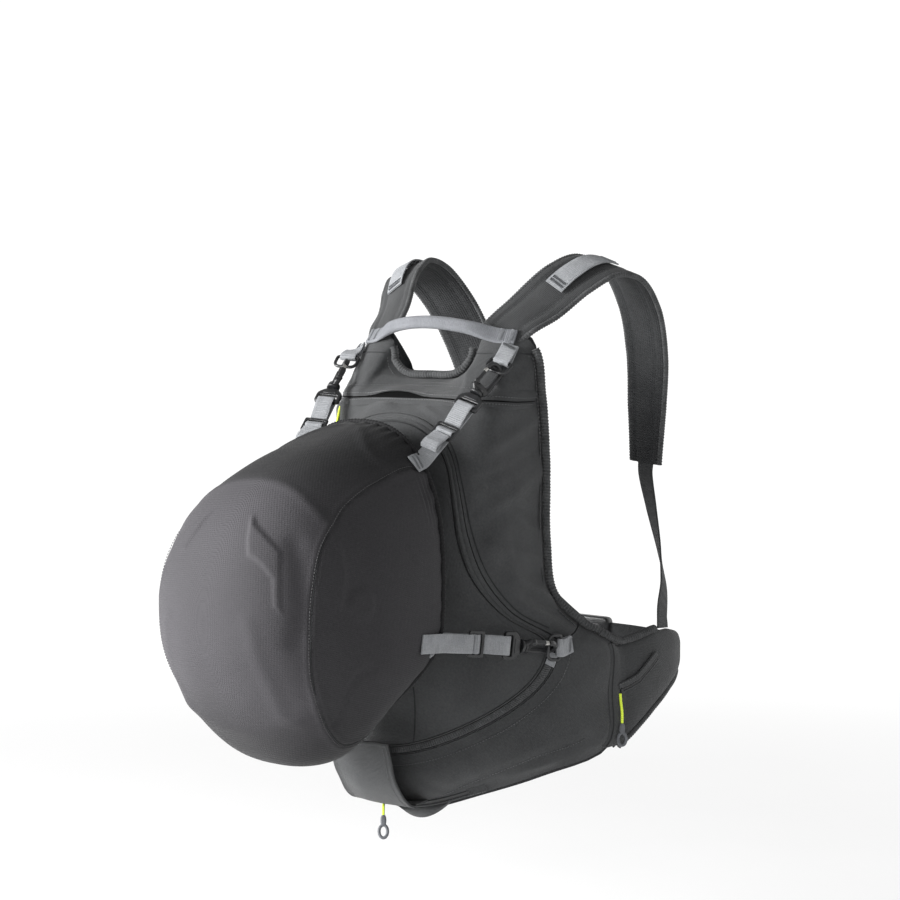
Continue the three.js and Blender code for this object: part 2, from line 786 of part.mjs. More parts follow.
// Helmet cover
function coverPoint(row, degrees) {
  const column = (name) => between(COVER_ROWS, name, row);
  const angle = THREE.MathUtils.degToRad(degrees);
  const power = 2 / COVER_SQUARENESS;
  const bent = (value) => Math.sign(value) * Math.abs(value) ** power;
  const halfHeight = (column("top") - column("bottom")) / 2;
  const z = column("bottom") + halfHeight * (1 + bent(Math.sin(angle)));
  const slant = HEM_SLANT.reach * THREE.MathUtils.smoothstep(-z, -HEM_SLANT.from, -HEM_SLANT.to);
  return new THREE.Vector3(
    column("halfWidth") * bent(Math.cos(angle)),
    column("depth") + column("lean") * slant,
    z,
  );
}

function helmetCover() {
  const turns = range(0, 360, STEPS.cover).slice(0, -1);
  const outer = COVER_ROWS.map((_, row) => turns.map((degrees) => coverPoint(row, degrees)));
  return wall(thickened(outer, -CLOTH, true, COVER_CENTRE), outer, true);
}

place("helmet_cover", helmetCover(), "stretch");

// D-ring in the plane of across and up, with its bow at the bottom
function dRing() {
  const { halfWidth, height, flat, wire, corner } = RING;
  const bow = halfWidth - flat;
  const quarter = (x, z, radius, from) => range(from, from + 90, STEPS.ringCorner).map((degrees) => {
    const angle = THREE.MathUtils.degToRad(degrees);
    return new THREE.Vector3(x + radius * Math.cos(angle), 0, z + radius * Math.sin(angle));
  });
  const path = [
    ...quarter(halfWidth - corner, height - corner, corner, 0),
    ...quarter(corner - halfWidth, height - corner, corner, 90),
    ...quarter(-flat, bow, bow, 180),
    ...quarter(flat, bow, bow, 270),
  ];
  const profile = circle(wire, STEPS.wire);
  return loft(carry(path, () => new THREE.Vector3(0, 1, 0), () => profile, true), true);
}

// Snap hook: shank, nose and neck in one outline, with a round seat for the gate's knuckle
function snapHook() {
  const { eyeCentre, eyeRadius, bar, noseEnd, pivotAcross, pivotDown } = HOOK;
  const { knuckle, shoulder, neckHalf, neckEnd } = HOOK;
  const outer = eyeRadius + bar;
  const seat = knuckle + GAP;
  const shape = new THREE.Shape();
  shape.moveTo(eyeRadius, noseEnd);
  shape.lineTo(outer, noseEnd);
  shape.lineTo(outer, eyeCentre);
  shape.absarc(0, eyeCentre, outer, 0, Math.PI);
  shape.lineTo(-outer, shoulder);
  shape.lineTo(-neckHalf, shoulder - bar);
  shape.lineTo(-neckHalf, neckEnd);
  shape.lineTo(neckHalf, neckEnd);
  shape.lineTo(neckHalf, shoulder - bar);
  shape.lineTo(outer, shoulder);
  shape.lineTo(outer, pivotDown - seat * 0.8);
  shape.absarc(pivotAcross, pivotDown, seat, -0.25 * Math.PI, -Math.PI, true);
  shape.lineTo(-eyeRadius, pivotDown);
  shape.lineTo(-eyeRadius, eyeCentre);
  shape.absarc(0, eyeCentre, eyeRadius, Math.PI, 0, true);
  return slab(shape, HOOK.thickness, STEPS.hookArc);
}

// Sprung gate, drawn about its own pivot
function hookGate() {
  const length = HOOK.noseEnd - GAP - HOOK.pivotDown;
  const inner = HOOK.eyeRadius + GAP - HOOK.pivotAcross;
  const outer = HOOK.eyeRadius + HOOK.bar - GAP - HOOK.pivotAcross;
  const shape = new THREE.Shape();
  shape.moveTo(outer, length);
  shape.lineTo(inner, length);
  shape.lineTo(inner, Math.sqrt(HOOK.knuckle ** 2 - inner ** 2));
  const start = Math.acos(inner / HOOK.knuckle);
  const end = 2 * Math.PI + Math.acos(outer / HOOK.knuckle);
  shape.absarc(0, 0, HOOK.knuckle, start, end);
  return slab(shape, HOOK.thickness, STEPS.hookArc);
}

function rectangleHole(half, low, high) {
  const hole = new THREE.Path();
  hole.moveTo(-half, low);
  hole.lineTo(-half, high);
  hole.lineTo(half, high);
  hole.lineTo(half, low);
  hole.closePath();
  return hole;
}

function strapBase() {
  const shape = new THREE.Shape();
  shape.moveTo(-BASE.neckHalf, BASE.top);
  shape.lineTo(-BASE.half, BASE.shoulder);
  shape.lineTo(-BASE.half, BASE.bottom);
  shape.lineTo(BASE.half, BASE.bottom);
  shape.lineTo(BASE.half, BASE.shoulder);
  shape.lineTo(BASE.neckHalf, BASE.top);
  shape.holes.push(rectangleHole(BASE.slotHalf, BASE.slotEnd, BASE.slotTop));
  return slab(shape, BASE.thickness);
}

function triGlide() {
  const halfway = (GLIDE.top + GLIDE.bottom) / 2;
  const shape = roundedShape(2 * GLIDE.half, GLIDE.top - GLIDE.bottom, GLIDE.corner);
  const slotFrom = GLIDE.middle / 2;
  const slotTo = (GLIDE.top - GLIDE.bottom) / 2 - GLIDE.bar;
  shape.holes.push(rectangleHole(GLIDE.slotHalf, slotFrom, slotTo));
  shape.holes.push(rectangleHole(GLIDE.slotHalf, -slotTo, -slotFrom));
  return slab(shape, GLIDE.thickness).translate(0, 0, halfway);
}

// Clip strap, in the frame of its clip: doubled over the base's bar, woven through the tri-glide,
// and sewn to the cover
function holderStrap(sewn, endSide) {
  const clear = GAP + WEBBING / 2;
  const bar = BASE.thickness / 2 + clear + GAP;
  const glide = GLIDE.thickness / 2 + clear;
  const halfway = (GLIDE.top + GLIDE.bottom) / 2;
  const slot = (GLIDE.top - GLIDE.bottom) / 2 - GLIDE.bar;
  const underPly = -(glide + WEBBING + GAP);
  const route = [
    [underPly, halfway],
    [underPly, GLIDE.top + 2],
    [-bar, BASE.bottom - 2],
    [-bar, BASE.slotEnd],
    [-bar * 0.75, BASE.slotEnd + clear * 1.05],
    [0, BASE.slotEnd + clear * 1.2],
    [bar * 0.75, BASE.slotEnd + clear * 1.05],
    [bar, BASE.slotEnd],
    [bar, BASE.bottom - 2],
    [-glide * 0.3, GLIDE.top + 5],
    [-glide, GLIDE.top + 1],
    [-glide, halfway + slot],
    [glide, halfway + GLIDE.middle / 2],
    [glide, halfway - GLIDE.middle / 2],
    [-glide, halfway - slot],
    [-glide, GLIDE.bottom - 1],
  ].map(([face, up]) => new THREE.Vector3(0, face, up));
  const leave = route[route.length - 1];
  const halfLeave = leave.clone().lerp(sewn[0], 0.5);
  const tail = smooth([leave, halfLeave, ...sewn], STEPS.strapTail).slice(1);
  const across = new THREE.Vector3(1, 0, 0);
  const twist = (i) => THREE.MathUtils.clamp((i - route.length + 1) / (tail.length - 2), 0, 1);
  const sideAt = (i) => across.clone().lerp(endSide, twist(i));
  return strip([...route, ...tail], sideAt, CLIP_WIDTH, WEBBING);
}

// Ring tab: webbing folded round the ring's bar, both plies sewn to the pack
function ringTab(seat, seatFace, seatSide) {
  const clear = RING.wire + GAP + WEBBING / 2;
  const ply = WEBBING + GAP;
  const { height } = RING;
  const fold = [
    [-clear, height + clear],
    [-clear, height],
    [-clear * 0.75, height - clear * 0.85],
    [0, height - clear * 1.15],
    [clear * 0.75, height - clear * 0.85],
    [clear, height],
    [clear, height + clear],
  ].map(([face, up]) => new THREE.Vector3(0, face, up));
  const path = [seat, ...fold, seat.clone().addScaledVector(seatFace, ply)];
  const last = path.length - 1;
  const across = new THREE.Vector3(1, 0, 0);
  const sideAt = (i) => across.clone().lerp(seatSide, i === 0 || i === last ? 1 : 0);
  return strip(path, sideAt, TAB_WIDTH, WEBBING);
}

// The cover's own directions at a turn round its hem
function coverAround(degrees) {
  const step = 6;
  const ahead = coverPoint(HEM_ROW, degrees + step);
  return ahead.sub(coverPoint(HEM_ROW, degrees - step)).normalize();
}

function coverNormal(degrees) {
  const along = coverPoint(2 * HEM_ROW, degrees).sub(coverPoint(0, degrees));
  return coverAround(degrees).cross(along).normalize();
}

// A clip as it hangs on the right: its frame, and the webbing that depends on where it is sewn
function rightClip({ ring, hemTurn, lift, face, seat }) {
  const normal = coverNormal(hemTurn);
  const onCover = (row) => coverPoint(row, hemTurn).addScaledVector(normal, lift + WEBBING / 2);
  const origin = vector(ring);
  const up = origin.clone().sub(onCover(0)).normalize();
  const out = vector(face);
  out.addScaledVector(up, -out.dot(up)).normalize();
  const frame = clipFrame(origin, out, up);
  const toClip = (point) => frame.worldToLocal(point.clone());
  const turned = (direction) => direction.clone().applyQuaternion(frame.quaternion.clone().invert());

  const endSide = turned(coverAround(hemTurn));
  endSide.multiplyScalar(Math.sign(endSide.x));
  const seatDistance = wallLength(seat.station) - seat.edgeDepth;
  const seatFace = clothNormal(seat.station, seatDistance);
  const seatPoint = onCloth(seat.station, seatDistance, seat.height);
  const seatSide = turned(new THREE.Vector3().crossVectors(seatFace, up).normalize());
  seatSide.multiplyScalar(Math.sign(seatSide.x));
  return {
    origin,
    out,
    up,
    tab: ringTab(toClip(seatPoint), turned(seatFace), seatSide),
    strap: holderStrap(SEWN_ROWS.map((row) => toClip(onCover(row))), endSide),
  };
}

function clipFrame(origin, out, up) {
  const frame = new THREE.Group();
  const across = new THREE.Vector3().crossVectors(out, up);
  frame.position.copy(origin);
  frame.quaternion.setFromRotationMatrix(new THREE.Matrix4().makeBasis(across, out, up));
  frame.updateMatrixWorld(true);
  return frame;
}

const HANDS = [
  { name: "right", sign: 1, flip: (point) => point.clone(), shaped: (geometry) => geometry },
  { name: "left", sign: -1, flip: mirrored, shaped: mirroredGeometry },
];

for (const row of HOLDERS) {
  for (const { name, sign, flip, shaped } of HANDS) {
    const clip = rightClip({ ...row, ...row[name] });
    const tag = `${row.level}_${name}`;
    const frame = clipFrame(flip(clip.origin), flip(clip.out), flip(clip.up));
    backpack.add(frame);
    place(`ring_tab_${tag}`, shaped(clip.tab), "webbing", frame);
    place(`d_ring_${tag}`, shaped(dRing()), "plastic", frame);
    place(`strap_base_${tag}`, shaped(strapBase()), "plastic", frame);
    place(`tri_glide_${tag}`, shaped(triGlide()), "plastic", frame);
    place(`holder_strap_${tag}`, shaped(clip.strap), "webbing", frame);

    const hook = new THREE.Group();
    hook.rotation.z = THREE.MathUtils.degToRad(sign * HOOK.turn);
    frame.add(hook);
    place(`snap_hook_${tag}`, shaped(snapHook()), "plastic", hook);
    const pivot = new THREE.Group();
    pivot.position.set(sign * HOOK.pivotAcross, 0, HOOK.pivotDown);
    hook.add(pivot);
    place(`hook_gate_${tag}`, shaped(hookGate()), "plastic", pivot);
  }
}

// Zip pulls: a short cord from the slider, and a moulded loop on its end
function pullEnd(top, down, face) {
  const { endLength, endHalfWidth, endWire } = PULL;
  const across = new THREE.Vector3().crossVectors(down, face).normalize();
  const straight = endLength - 2 * endHalfWidth - 2 * endWire;
  const first = top.clone().addScaledVector(down, GAP + endWire);
  const ringPath = [];
  for (const [from, shift] of [[0, straight], [180, 0]]) {
    for (const degrees of range(from, from + 180, STEPS.pullBow)) {
      const angle = THREE.MathUtils.degToRad(degrees);
      const point = first.clone().addScaledVector(across, endHalfWidth * Math.cos(angle));
      const drop = endHalfWidth + shift + endHalfWidth * Math.sin(angle);
      ringPath.push(point.addScaledVector(down, drop));
    }
  }
  const profile = circle(endWire, STEPS.wire);
  return loft(carry(ringPath, () => face, () => profile, true), true);
}

function zipPull(name, points, face) {
  const path = smooth(points, STEPS.cordRun);
  const end = path[path.length - 1];
  const down = end.clone().sub(path[path.length - 2]).normalize();
  place(`pull_cord_${name}`, tube(path, PULL.cordRadius, STEPS.cord, face), "cord");
  place(`pull_end_${name}`, pullEnd(end, down, face), "rubber");
}

function straightPull(start, down) {
  return [start, start.clone().addScaledVector(down, PULL.cordLength)];
}

const wingOut = wingAcross(WING_PULL.position);
const wingPull = wingPoint(WING_PULL.position, 1, WING_PULL.height);
wingPull.addScaledVector(wingOut, WING_PULL.stand);
for (const { name, flip } of HANDS) {
  zipPull(`${name}_wing`, straightPull(flip(wingPull), new THREE.Vector3(0, 0, -1)), flip(wingOut));
}

const topPull = onCloth(TOP_PULL.station, TOP_PULL.above, PULL_HEIGHT);
const topPullDown = onCloth(TOP_PULL.station, TOP_PULL.below, PULL_HEIGHT).sub(topPull).normalize();
const topPullFace = clothNormal(TOP_PULL.station, TOP_PULL.above);
zipPull("top_pocket", straightPull(topPull, topPullDown), topPullFace);
zipPull("bottom_pocket", BOTTOM_PULL.map(vector), new THREE.Vector3(-1, 0, 0));

export default backpack;
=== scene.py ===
import math

import bmesh
import bpy
import numpy as np
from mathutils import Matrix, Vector, noise


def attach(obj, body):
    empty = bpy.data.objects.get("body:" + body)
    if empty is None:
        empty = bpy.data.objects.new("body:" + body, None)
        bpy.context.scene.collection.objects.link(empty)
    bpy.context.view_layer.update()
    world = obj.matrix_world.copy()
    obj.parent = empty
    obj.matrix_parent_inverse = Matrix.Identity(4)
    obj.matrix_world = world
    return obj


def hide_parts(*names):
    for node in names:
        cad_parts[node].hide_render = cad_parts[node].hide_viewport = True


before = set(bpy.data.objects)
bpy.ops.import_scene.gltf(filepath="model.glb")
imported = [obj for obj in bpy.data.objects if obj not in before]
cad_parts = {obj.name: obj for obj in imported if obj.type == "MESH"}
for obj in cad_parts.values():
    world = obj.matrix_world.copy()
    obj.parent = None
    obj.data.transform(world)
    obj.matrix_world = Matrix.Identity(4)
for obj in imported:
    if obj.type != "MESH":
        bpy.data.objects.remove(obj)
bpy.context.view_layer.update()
mm = 0.001  # every size below is in millimetres
print("frame:", len(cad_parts), "nodes")


def unit(v):
    v = np.asarray(v, float)
    return v / np.maximum(np.linalg.norm(v, axis=-1, keepdims=True), 1e-9)


def smoothStep(x, low, high):
    t = np.clip((np.asarray(x, float) - low) / (high - low), 0, 1)
    return t * t * (3 - 2 * t)


def runThrough(points, at, closed=False):  # centripetal spline, at counts in points
    p = np.asarray(points, float)
    at = np.atleast_1d(np.asarray(at, float))
    if closed:
        low = np.floor(at).astype(int)
        p0, p1, p2, p3 = (p[(low + k) % len(p)] for k in (-1, 0, 1, 2))
    else:
        low = np.clip(np.floor(at).astype(int), 0, len(p) - 2)
        longer = np.vstack([2 * p[0] - p[1], p, 2 * p[-1] - p[-2]])
        p0, p1, p2, p3 = (longer[low + k] for k in (0, 1, 2, 3))
    w = (at - low)[:, None]
    d0, d1, d2 = (np.sqrt(np.linalg.norm(b - a, axis=1, keepdims=True))
                  for a, b in ((p0, p1), (p1, p2), (p2, p3)))
    d1 = np.where(d1 < 1e-4, 1.0, d1)
    d0 = np.where(d0 < 1e-4, d1, d0)
    d2 = np.where(d2 < 1e-4, d1, d2)
    t1 = ((p1 - p0) / d0 - (p2 - p0) / (d0 + d1) + (p2 - p1) / d1) * d1
    t2 = ((p2 - p1) / d1 - (p3 - p1) / (d1 + d2) + (p3 - p2) / d2) * d1
    return p1 + t1 * w + (3 * (p2 - p1) - 2 * t1 - t2) * w**2 + (2 * (p1 - p2) + t1 + t2) * w**3


def smoothPath(points, count):
    return runThrough(points, np.linspace(0, len(points) - 1, count))


def evenPath(points, step):  # the same line with evenly spaced points
    fine = smoothPath(points, 40 * len(points))
    run = np.concatenate([[0], np.cumsum(np.linalg.norm(np.diff(fine, axis=0), axis=1))])
    at = np.linspace(0, run[-1], max(int(run[-1] / step), 2) + 1)
    return np.stack([np.interp(at, run, fine[:, k]) for k in range(3)], 1)


def between(rows, name, at):
    return np.interp(at, np.arange(len(rows)), [row[name] for row in rows])


def mirrored(points):
    return np.asarray(points, float) * (-1, 1, 1)


def tangents(path, closed=False):
    path = np.asarray(path, float)
    if closed:
        return unit(np.roll(path, -1, 0) - np.roll(path, 1, 0))
    return unit(np.vstack([path[1:], path[-1:]]) - np.vstack([path[:1], path[:-1]]))


def sweep(path, sides, profile, closed=False):  # profile points run along the side, then along the face
    path = np.asarray(path, float)
    along = tangents(path, closed)
    sides = np.broadcast_to(np.asarray(sides, float), path.shape)
    sides = unit(sides - along * np.sum(sides * along, 1, keepdims=True))
    faces = np.cross(along, sides)
    profile = np.asarray(profile, float)
    if profile.ndim == 2:
        profile = np.broadcast_to(profile, (len(path),) + profile.shape)
    return path[:, None] + profile[..., :1] * sides[:, None] + profile[..., 1:] * faces[:, None]


def circle(radius, count):
    turn = np.linspace(0, 2 * np.pi, count, endpoint=False)
    return radius * np.stack([np.cos(turn), np.sin(turn)], 1)


def roundBand(width, thick, count=4):  # flat webbing with rounded edges
    turn = np.linspace(-np.pi / 2, np.pi / 2, 2 * count + 1)
    r, w = thick / 2, width / 2
    right = np.stack([w - r + r * np.cos(turn), r * np.sin(turn)], 1)
    across = np.linspace(w - r, r - w, 8)[1:-1]
    top = np.stack([across, np.full(len(across), r)], 1)
    return np.vstack([right, top, -right, -top])


def gridNormals(grid, wrapColumns=False):
    if wrapColumns:
        across = np.roll(grid, -1, 1) - np.roll(grid, 1, 1)
    else:
        across = np.gradient(grid, axis=1)
    return unit(np.cross(across, np.gradient(grid, axis=0)))


def quads(rows, columns, wrapRows=False, wrapColumns=False):
    r, c = np.meshgrid(np.arange(rows if wrapRows else rows - 1),
                       np.arange(columns if wrapColumns else columns - 1), indexing="ij")
    r2, c2 = (r + 1) % rows, (c + 1) % columns
    return np.stack([r * columns + c, r * columns + c2, r2 * columns + c2, r2 * columns + c],
                    -1).reshape(-1, 4).tolist()


def arcLengths(grid, axis):
    step = np.linalg.norm(np.diff(grid, axis=axis), axis=2)
    start = np.zeros_like(step[:1]) if axis == 0 else np.zeros_like(step[:, :1])
    return np.concatenate([start, np.cumsum(step, axis)], axis)


def tube(rings, closed=False, finish=0):  # a closed skin through rings of points
    rows, columns = rings.shape[:2]
    faces = quads(rows, columns, closed, True)
    if not closed:
        faces += [list(range(columns)), list(range((rows - 1) * columns, rows * columns))]
    along = np.broadcast_to(arcLengths(rings.mean(1, keepdims=True), 0), (rows, columns))
    around = arcLengths(rings, 1)
    return {"points": rings.reshape(-1, 3), "faces": faces, "finish": finish,
            "flat": np.stack([around, along], -1).reshape(-1, 2)}


def wall(outer, inner, wrapColumns=False, finish=0, flat=None):  # cloth with both faces and a rim
    rows, columns = outer.shape[:2]
    count = rows * columns
    index = np.arange(count).reshape(rows, columns)
    faces = quads(rows, columns, False, wrapColumns)
    faces += [[v + count for v in face[::-1]] for face in faces]
    rims = [index[0], index[-1][::-1]]
    if not wrapColumns:
        rims += [index[:, 0][::-1], index[:, -1]]
    for rim in rims:
        ends = list(rim) + ([rim[0]] if wrapColumns else [])
        faces += [[int(b), int(a), int(a) + count, int(b) + count] for a, b in zip(ends, ends[1:])]
    if flat is None:
        flat = np.stack([arcLengths(outer, 1), arcLengths(outer, 0)], -1)
    flat = flat.reshape(-1, 2)
    return {"points": np.vstack([outer.reshape(-1, 3), inner.reshape(-1, 3)]), "faces": faces,
            "finish": finish, "flat": np.vstack([flat, flat])}


def stitches(path, normals, pitch=3.4, long=2.3, radius=0.42, finish=0):  # a row of sewn thread
    steps = np.concatenate([[0], np.cumsum(np.linalg.norm(np.diff(path, axis=0), axis=1))])
    at = np.arange(pitch / 2, steps[-1], pitch)
    spot = np.stack([np.interp(at, steps, path[:, k]) for k in range(3)], 1)
    up = unit(np.stack([np.interp(at, steps, normals[:, k]) for k in range(3)], 1))
    ahead = np.stack([np.interp(at + 0.5, steps, path[:, k]) - np.interp(at - 0.5, steps, path[:, k])
                      for k in range(3)], 1)
    ahead = unit(ahead)
    side = np.cross(ahead, up)
    points = []
    for run, grow in ((-0.5, 0.25), (-0.3, 1.0), (0.3, 1.0), (0.5, 0.25)):
        middle = spot + ahead * long * run
        for a, b in ((1, 0), (0, 1), (-1, 0), (0, -1)):
            points.append(middle + radius * grow * (side * a + up * b))
    points = np.stack(points, 1)
    single = np.array(quads(4, 4, False, True) + [[0, 1, 2, 3], [15, 14, 13, 12]])
    faces = (single[None] + 16 * np.arange(len(spot))[:, None, None]).reshape(-1, 4).tolist()
    return {"points": points.reshape(-1, 3), "faces": faces, "finish": finish,
            "flat": np.zeros((points.size // 3, 2))}


def seamShadow(path, normals, wide=1.2, finish=0):  # a dark strip laid where two panels are sewn together: painted shadow of the seam's fold
    path, normals = path[::2], normals[::2]
    return tube(sweep(path, np.cross(tangents(path), normals), circle(1, 8) * (wide / 2, 0.25)),
                finish=finish)


def barTack(start, end, side, up, width, turns, finish=1):  # close zigzag of thread
    t = np.linspace(0, 1, 2 * turns + 1)[:, None]
    swing = np.where(np.arange(2 * turns + 1) % 2 == 0, 0.5, -0.5)[:, None]
    return tube(sweep(np.asarray(start) + (np.asarray(end) - start) * t + np.asarray(side) * width * swing,
                      up, circle(0.5, 6)),
                finish=finish)


def ribbedBand(path, sides, width, thick, rib=2.1, depth=0.16, finish=0):  # webbing with woven ribs across
    run = np.concatenate([[0], np.cumsum(np.linalg.norm(np.diff(path, axis=0), axis=1))])
    swell = depth * np.cos(2 * np.pi * run / rib)
    width, thick = np.broadcast_to(width, run.shape), np.broadcast_to(thick, run.shape)
    shape = np.stack([roundBand(w, t + 2 * s, 2) for w, t, s in zip(width, thick, swell)])
    return tube(sweep(path, sides, shape), finish=finish)


def makePiece(name, parts, finishes, replaced=(), body="pack", sharp=50, marks=None):
    points, faces, which, flat = [], [], [], []
    for part in parts:
        start = sum(len(p) for p in points)
        points.append(part["points"])
        flat.append(part["flat"])
        faces += [[v + start for v in face] for face in part["faces"]]
        which += part["finish"] if isinstance(part["finish"], list) else [part["finish"]] * len(part["faces"])
    mesh = bpy.data.meshes.new(name)
    mesh.from_pydata((np.vstack(points) * mm).tolist(), [], faces)
    for finish in finishes:
        mesh.materials.append(finish)
    mesh.polygons.foreach_set("material_index", which)
    layer = mesh.uv_layers.new(name="cut")
    corner = np.zeros(len(mesh.loops), int)
    mesh.loops.foreach_get("vertex_index", corner)
    layer.data.foreach_set("uv", (np.vstack(flat)[corner] * mm).astype(np.float32).ravel())
    for mark, values in (marks or {}).items():
        layer = mesh.attributes.new(mark, "FLOAT", "POINT")
        layer.data.foreach_set("value", np.asarray(values, np.float32).ravel())
    work = bmesh.new()
    work.from_mesh(mesh)
    bmesh.ops.remove_doubles(work, verts=work.verts, dist=1e-6)
    bmesh.ops.recalc_face_normals(work, faces=work.faces)
    work.to_mesh(mesh)
    work.free()
    mesh.shade_smooth()
    mesh.set_sharp_from_angle(angle=math.radians(sharp))
    piece = bpy.data.objects.new(name, mesh)
    bpy.context.scene.collection.objects.link(piece)
    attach(piece, body)
    if replaced:
        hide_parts(*replaced)
    return piece


def ripple(points, size, height, seed=0.0, stretch=(1, 1, 1)):  # slow uneven waves of slack cloth
    shift = Vector((seed, 2.3 * seed, -1.7 * seed))
    spots = np.asarray(points, float).reshape(-1, 3) * stretch / size
    values = [noise.noise(Vector(p) + shift) for p in spots]
    return height * np.array(values).reshape(np.shape(points)[:-1])


def foldHeights(points, folds):  # each fold is a soft ridge, or a crease where its height is below zero
    total = np.zeros(points.shape[:-1])
    for fold in folds:
        a, b = np.array(fold["start"], float), np.array(fold["end"], float)
        run = np.clip(np.sum((points - a) * (b - a), -1) / np.sum((b - a) ** 2), 0, 1)
        away = np.linalg.norm(points - (a + run[..., None] * (b - a)), axis=-1)
        fade = 0.35 + 0.65 * np.sin(np.pi * np.clip(run, 0.04, 0.96))
        total += fold["height"] * fade * np.exp(-((away / fold["width"]) ** 2))
    return total


# materials


def linear(hexColour):
    srgb = [int(hexColour[k:k + 2], 16) / 255 for k in (1, 3, 5)]
    return [c / 12.92 if c <= 0.04045 else ((c + 0.055) / 1.055) ** 2.4 for c in srgb] + [1.0]


def addNode(tree, kind, settings=None, links=None):
    node = tree.nodes.new(kind)
    for key, value in (settings or {}).items():
        if isinstance(key, str) and hasattr(node, key):
            setattr(node, key, value)
        else:
            node.inputs[key].default_value = value
    for key, socket in (links or {}).items():
        tree.links.new(socket, node.inputs[key])
    return node


def waveScale(spacing):  # Blender's bands repeat every 2 pi / 20 of their scale
    return 2 * math.pi / (20 * spacing * mm)


def newMaterial(name):
    material = bpy.data.materials.new(name)
    material.use_nodes = True
    material.node_tree.nodes.clear()
    return material, material.node_tree


def finishMaterial(tree, colour, height, look):
    shader = addNode(tree, "ShaderNodeBsdfPrincipled", look)
    if colour is not None:
        tree.links.new(colour, shader.inputs["Base Color"])
    if height is not None:
        bump = addNode(tree, "ShaderNodeBump", {"Strength": 0.6, "Distance": 0.5 * mm}, {"Height": height})
        tree.links.new(bump.outputs[0], shader.inputs["Normal"])
    output = addNode(tree, "ShaderNodeOutputMaterial")
    tree.links.new(shader.outputs[0], output.inputs[0])


def wovenCloth(name, look):  # two crossing sets of threads, and slow shade changes over the cloth
    material, tree = newMaterial(name)
    flat = addNode(tree, "ShaderNodeUVMap", {"uv_map": "cut"}).outputs[0]
    place = addNode(tree, "ShaderNodeTexCoord").outputs["Object"]
    scale = waveScale(look["thread"])
    warp = addNode(tree, "ShaderNodeTexWave",
                   {"bands_direction": "X", "Scale": scale, "Distortion": 0.4, "Detail": 1.0},
                   {"Vector": flat})
    weft = addNode(tree, "ShaderNodeTexWave",
                   {"bands_direction": "Y", "Scale": scale, "Distortion": 0.4, "Detail": 1.0},
                   {"Vector": flat})
    weave = addNode(tree, "ShaderNodeMath", {"operation": "MULTIPLY"},
                    {0: warp.outputs[1], 1: weft.outputs[1]})
    speckle = addNode(tree, "ShaderNodeTexNoise", {"Scale": 1 / (look["speckle"] * mm), "Detail": 2.0},
                      {"Vector": place})
    cloud = addNode(tree, "ShaderNodeTexNoise", {"Scale": 1 / (look["cloud"] * mm), "Detail": 3.0},
                    {"Vector": place})
    both = addNode(tree, "ShaderNodeMix", {"Factor": 0.5, 2: 0.0},
                   {2: speckle.outputs[0], 3: cloud.outputs[0]})
    ramp = addNode(tree, "ShaderNodeValToRGB", {}, {"Fac": both.outputs[0]})
    ramp.color_ramp.elements[0].position, ramp.color_ramp.elements[1].position = 0.34, 0.66
    ramp.color_ramp.elements[0].color = linear(look["dark"])
    ramp.color_ramp.elements[1].color = linear(look["light"])
    colour = ramp.outputs[0]
    if "stretchedAndLit" in look:  # pulled tight, the knit opens and pales; the same mask also carries painted light and painted shade
        share = addNode(tree, "ShaderNodeAttribute", {"attribute_name": "stretch"}).outputs["Fac"]
        knitPaleAndLit = addNode(tree, "ShaderNodeMix", {"data_type": "RGBA", 7: linear(look["stretchedAndLit"])},
                       {0: share, 6: colour})
        colour = knitPaleAndLit.outputs[2]
    height = addNode(tree, "ShaderNodeMath", {"operation": "MULTIPLY_ADD", 1: look["relief"]},
                     {0: weave.outputs[0], 2: speckle.outputs[0]})
    finishMaterial(tree, colour, height.outputs[0], look["shader"])
    return material


# plain-woven polyester, dyed charcoal: dull, faintly mottled, soft at grazing angles;
# thread drawn coarser than real
packCloth = wovenCloth("polyester_plain_weave_charcoal", {
    "thread": 1.5, "speckle": 2.2, "cloud": 60, "dark": "#353637", "light": "#424344", "relief": 1.6,
    "shader": {"Roughness": 0.82, "IOR": 1.5, "Specular IOR Level": 0.3, "Sheen Weight": 0.12,
               "Sheen Roughness": 0.4}})
# the same yarn in a tighter twill on the padded straps and wings: darker and a little smoother
strapCloth = wovenCloth("polyester_twill_charcoal", {
    "thread": 1.8, "speckle": 2.0, "cloud": 45, "dark": "#2f3031", "light": "#3b3c3d", "relief": 1.8,
    "shader": {"Roughness": 0.78, "IOR": 1.5, "Specular IOR Level": 0.3, "Sheen Weight": 0.1,
               "Sheen Roughness": 0.4}})
# warp-knitted elastane, drawn tight: smooth, paler where it stretches and where light is painted on it; loops
# coarser than real so they show
coverKnit = wovenCloth("elastane_warp_knit", {
    "thread": 2.1, "speckle": 2.2, "cloud": 90, "dark": "#1a1a1b", "light": "#272728",
                                              "stretchedAndLit": "#5d5b5f", "relief": 0.9,
    "shader": {"Roughness": 0.75, "IOR": 1.5, "Specular IOR Level": 0.15, "Sheen Weight": 0.05,
               "Sheen Roughness": 0.35}})
# elastic tape folded over the raw edges: darker, ribbed by its gathers
edgeTape = wovenCloth("folded_elastic_tape", {
    "thread": 1.1, "speckle": 1.5, "cloud": 14, "dark": "#323334", "light": "#545556", "relief": 2.2,
    "shader": {"Roughness": 0.85, "IOR": 1.5, "Specular IOR Level": 0.25, "Sheen Weight": 0.1,
               "Sheen Roughness": 0.5}})
# polyester webbing, woven with ribs across: pale grey, dull
greyWebbing = wovenCloth("polyester_ribbed_webbing", {
    "thread": 1.3, "speckle": 1.4, "cloud": 16, "dark": "#7c7e81", "light": "#96989b", "relief": 1.4,
    "shader": {"Roughness": 0.75, "IOR": 1.5, "Specular IOR Level": 0.3, "Sheen Weight": 0.1,
               "Sheen Roughness": 0.4}})
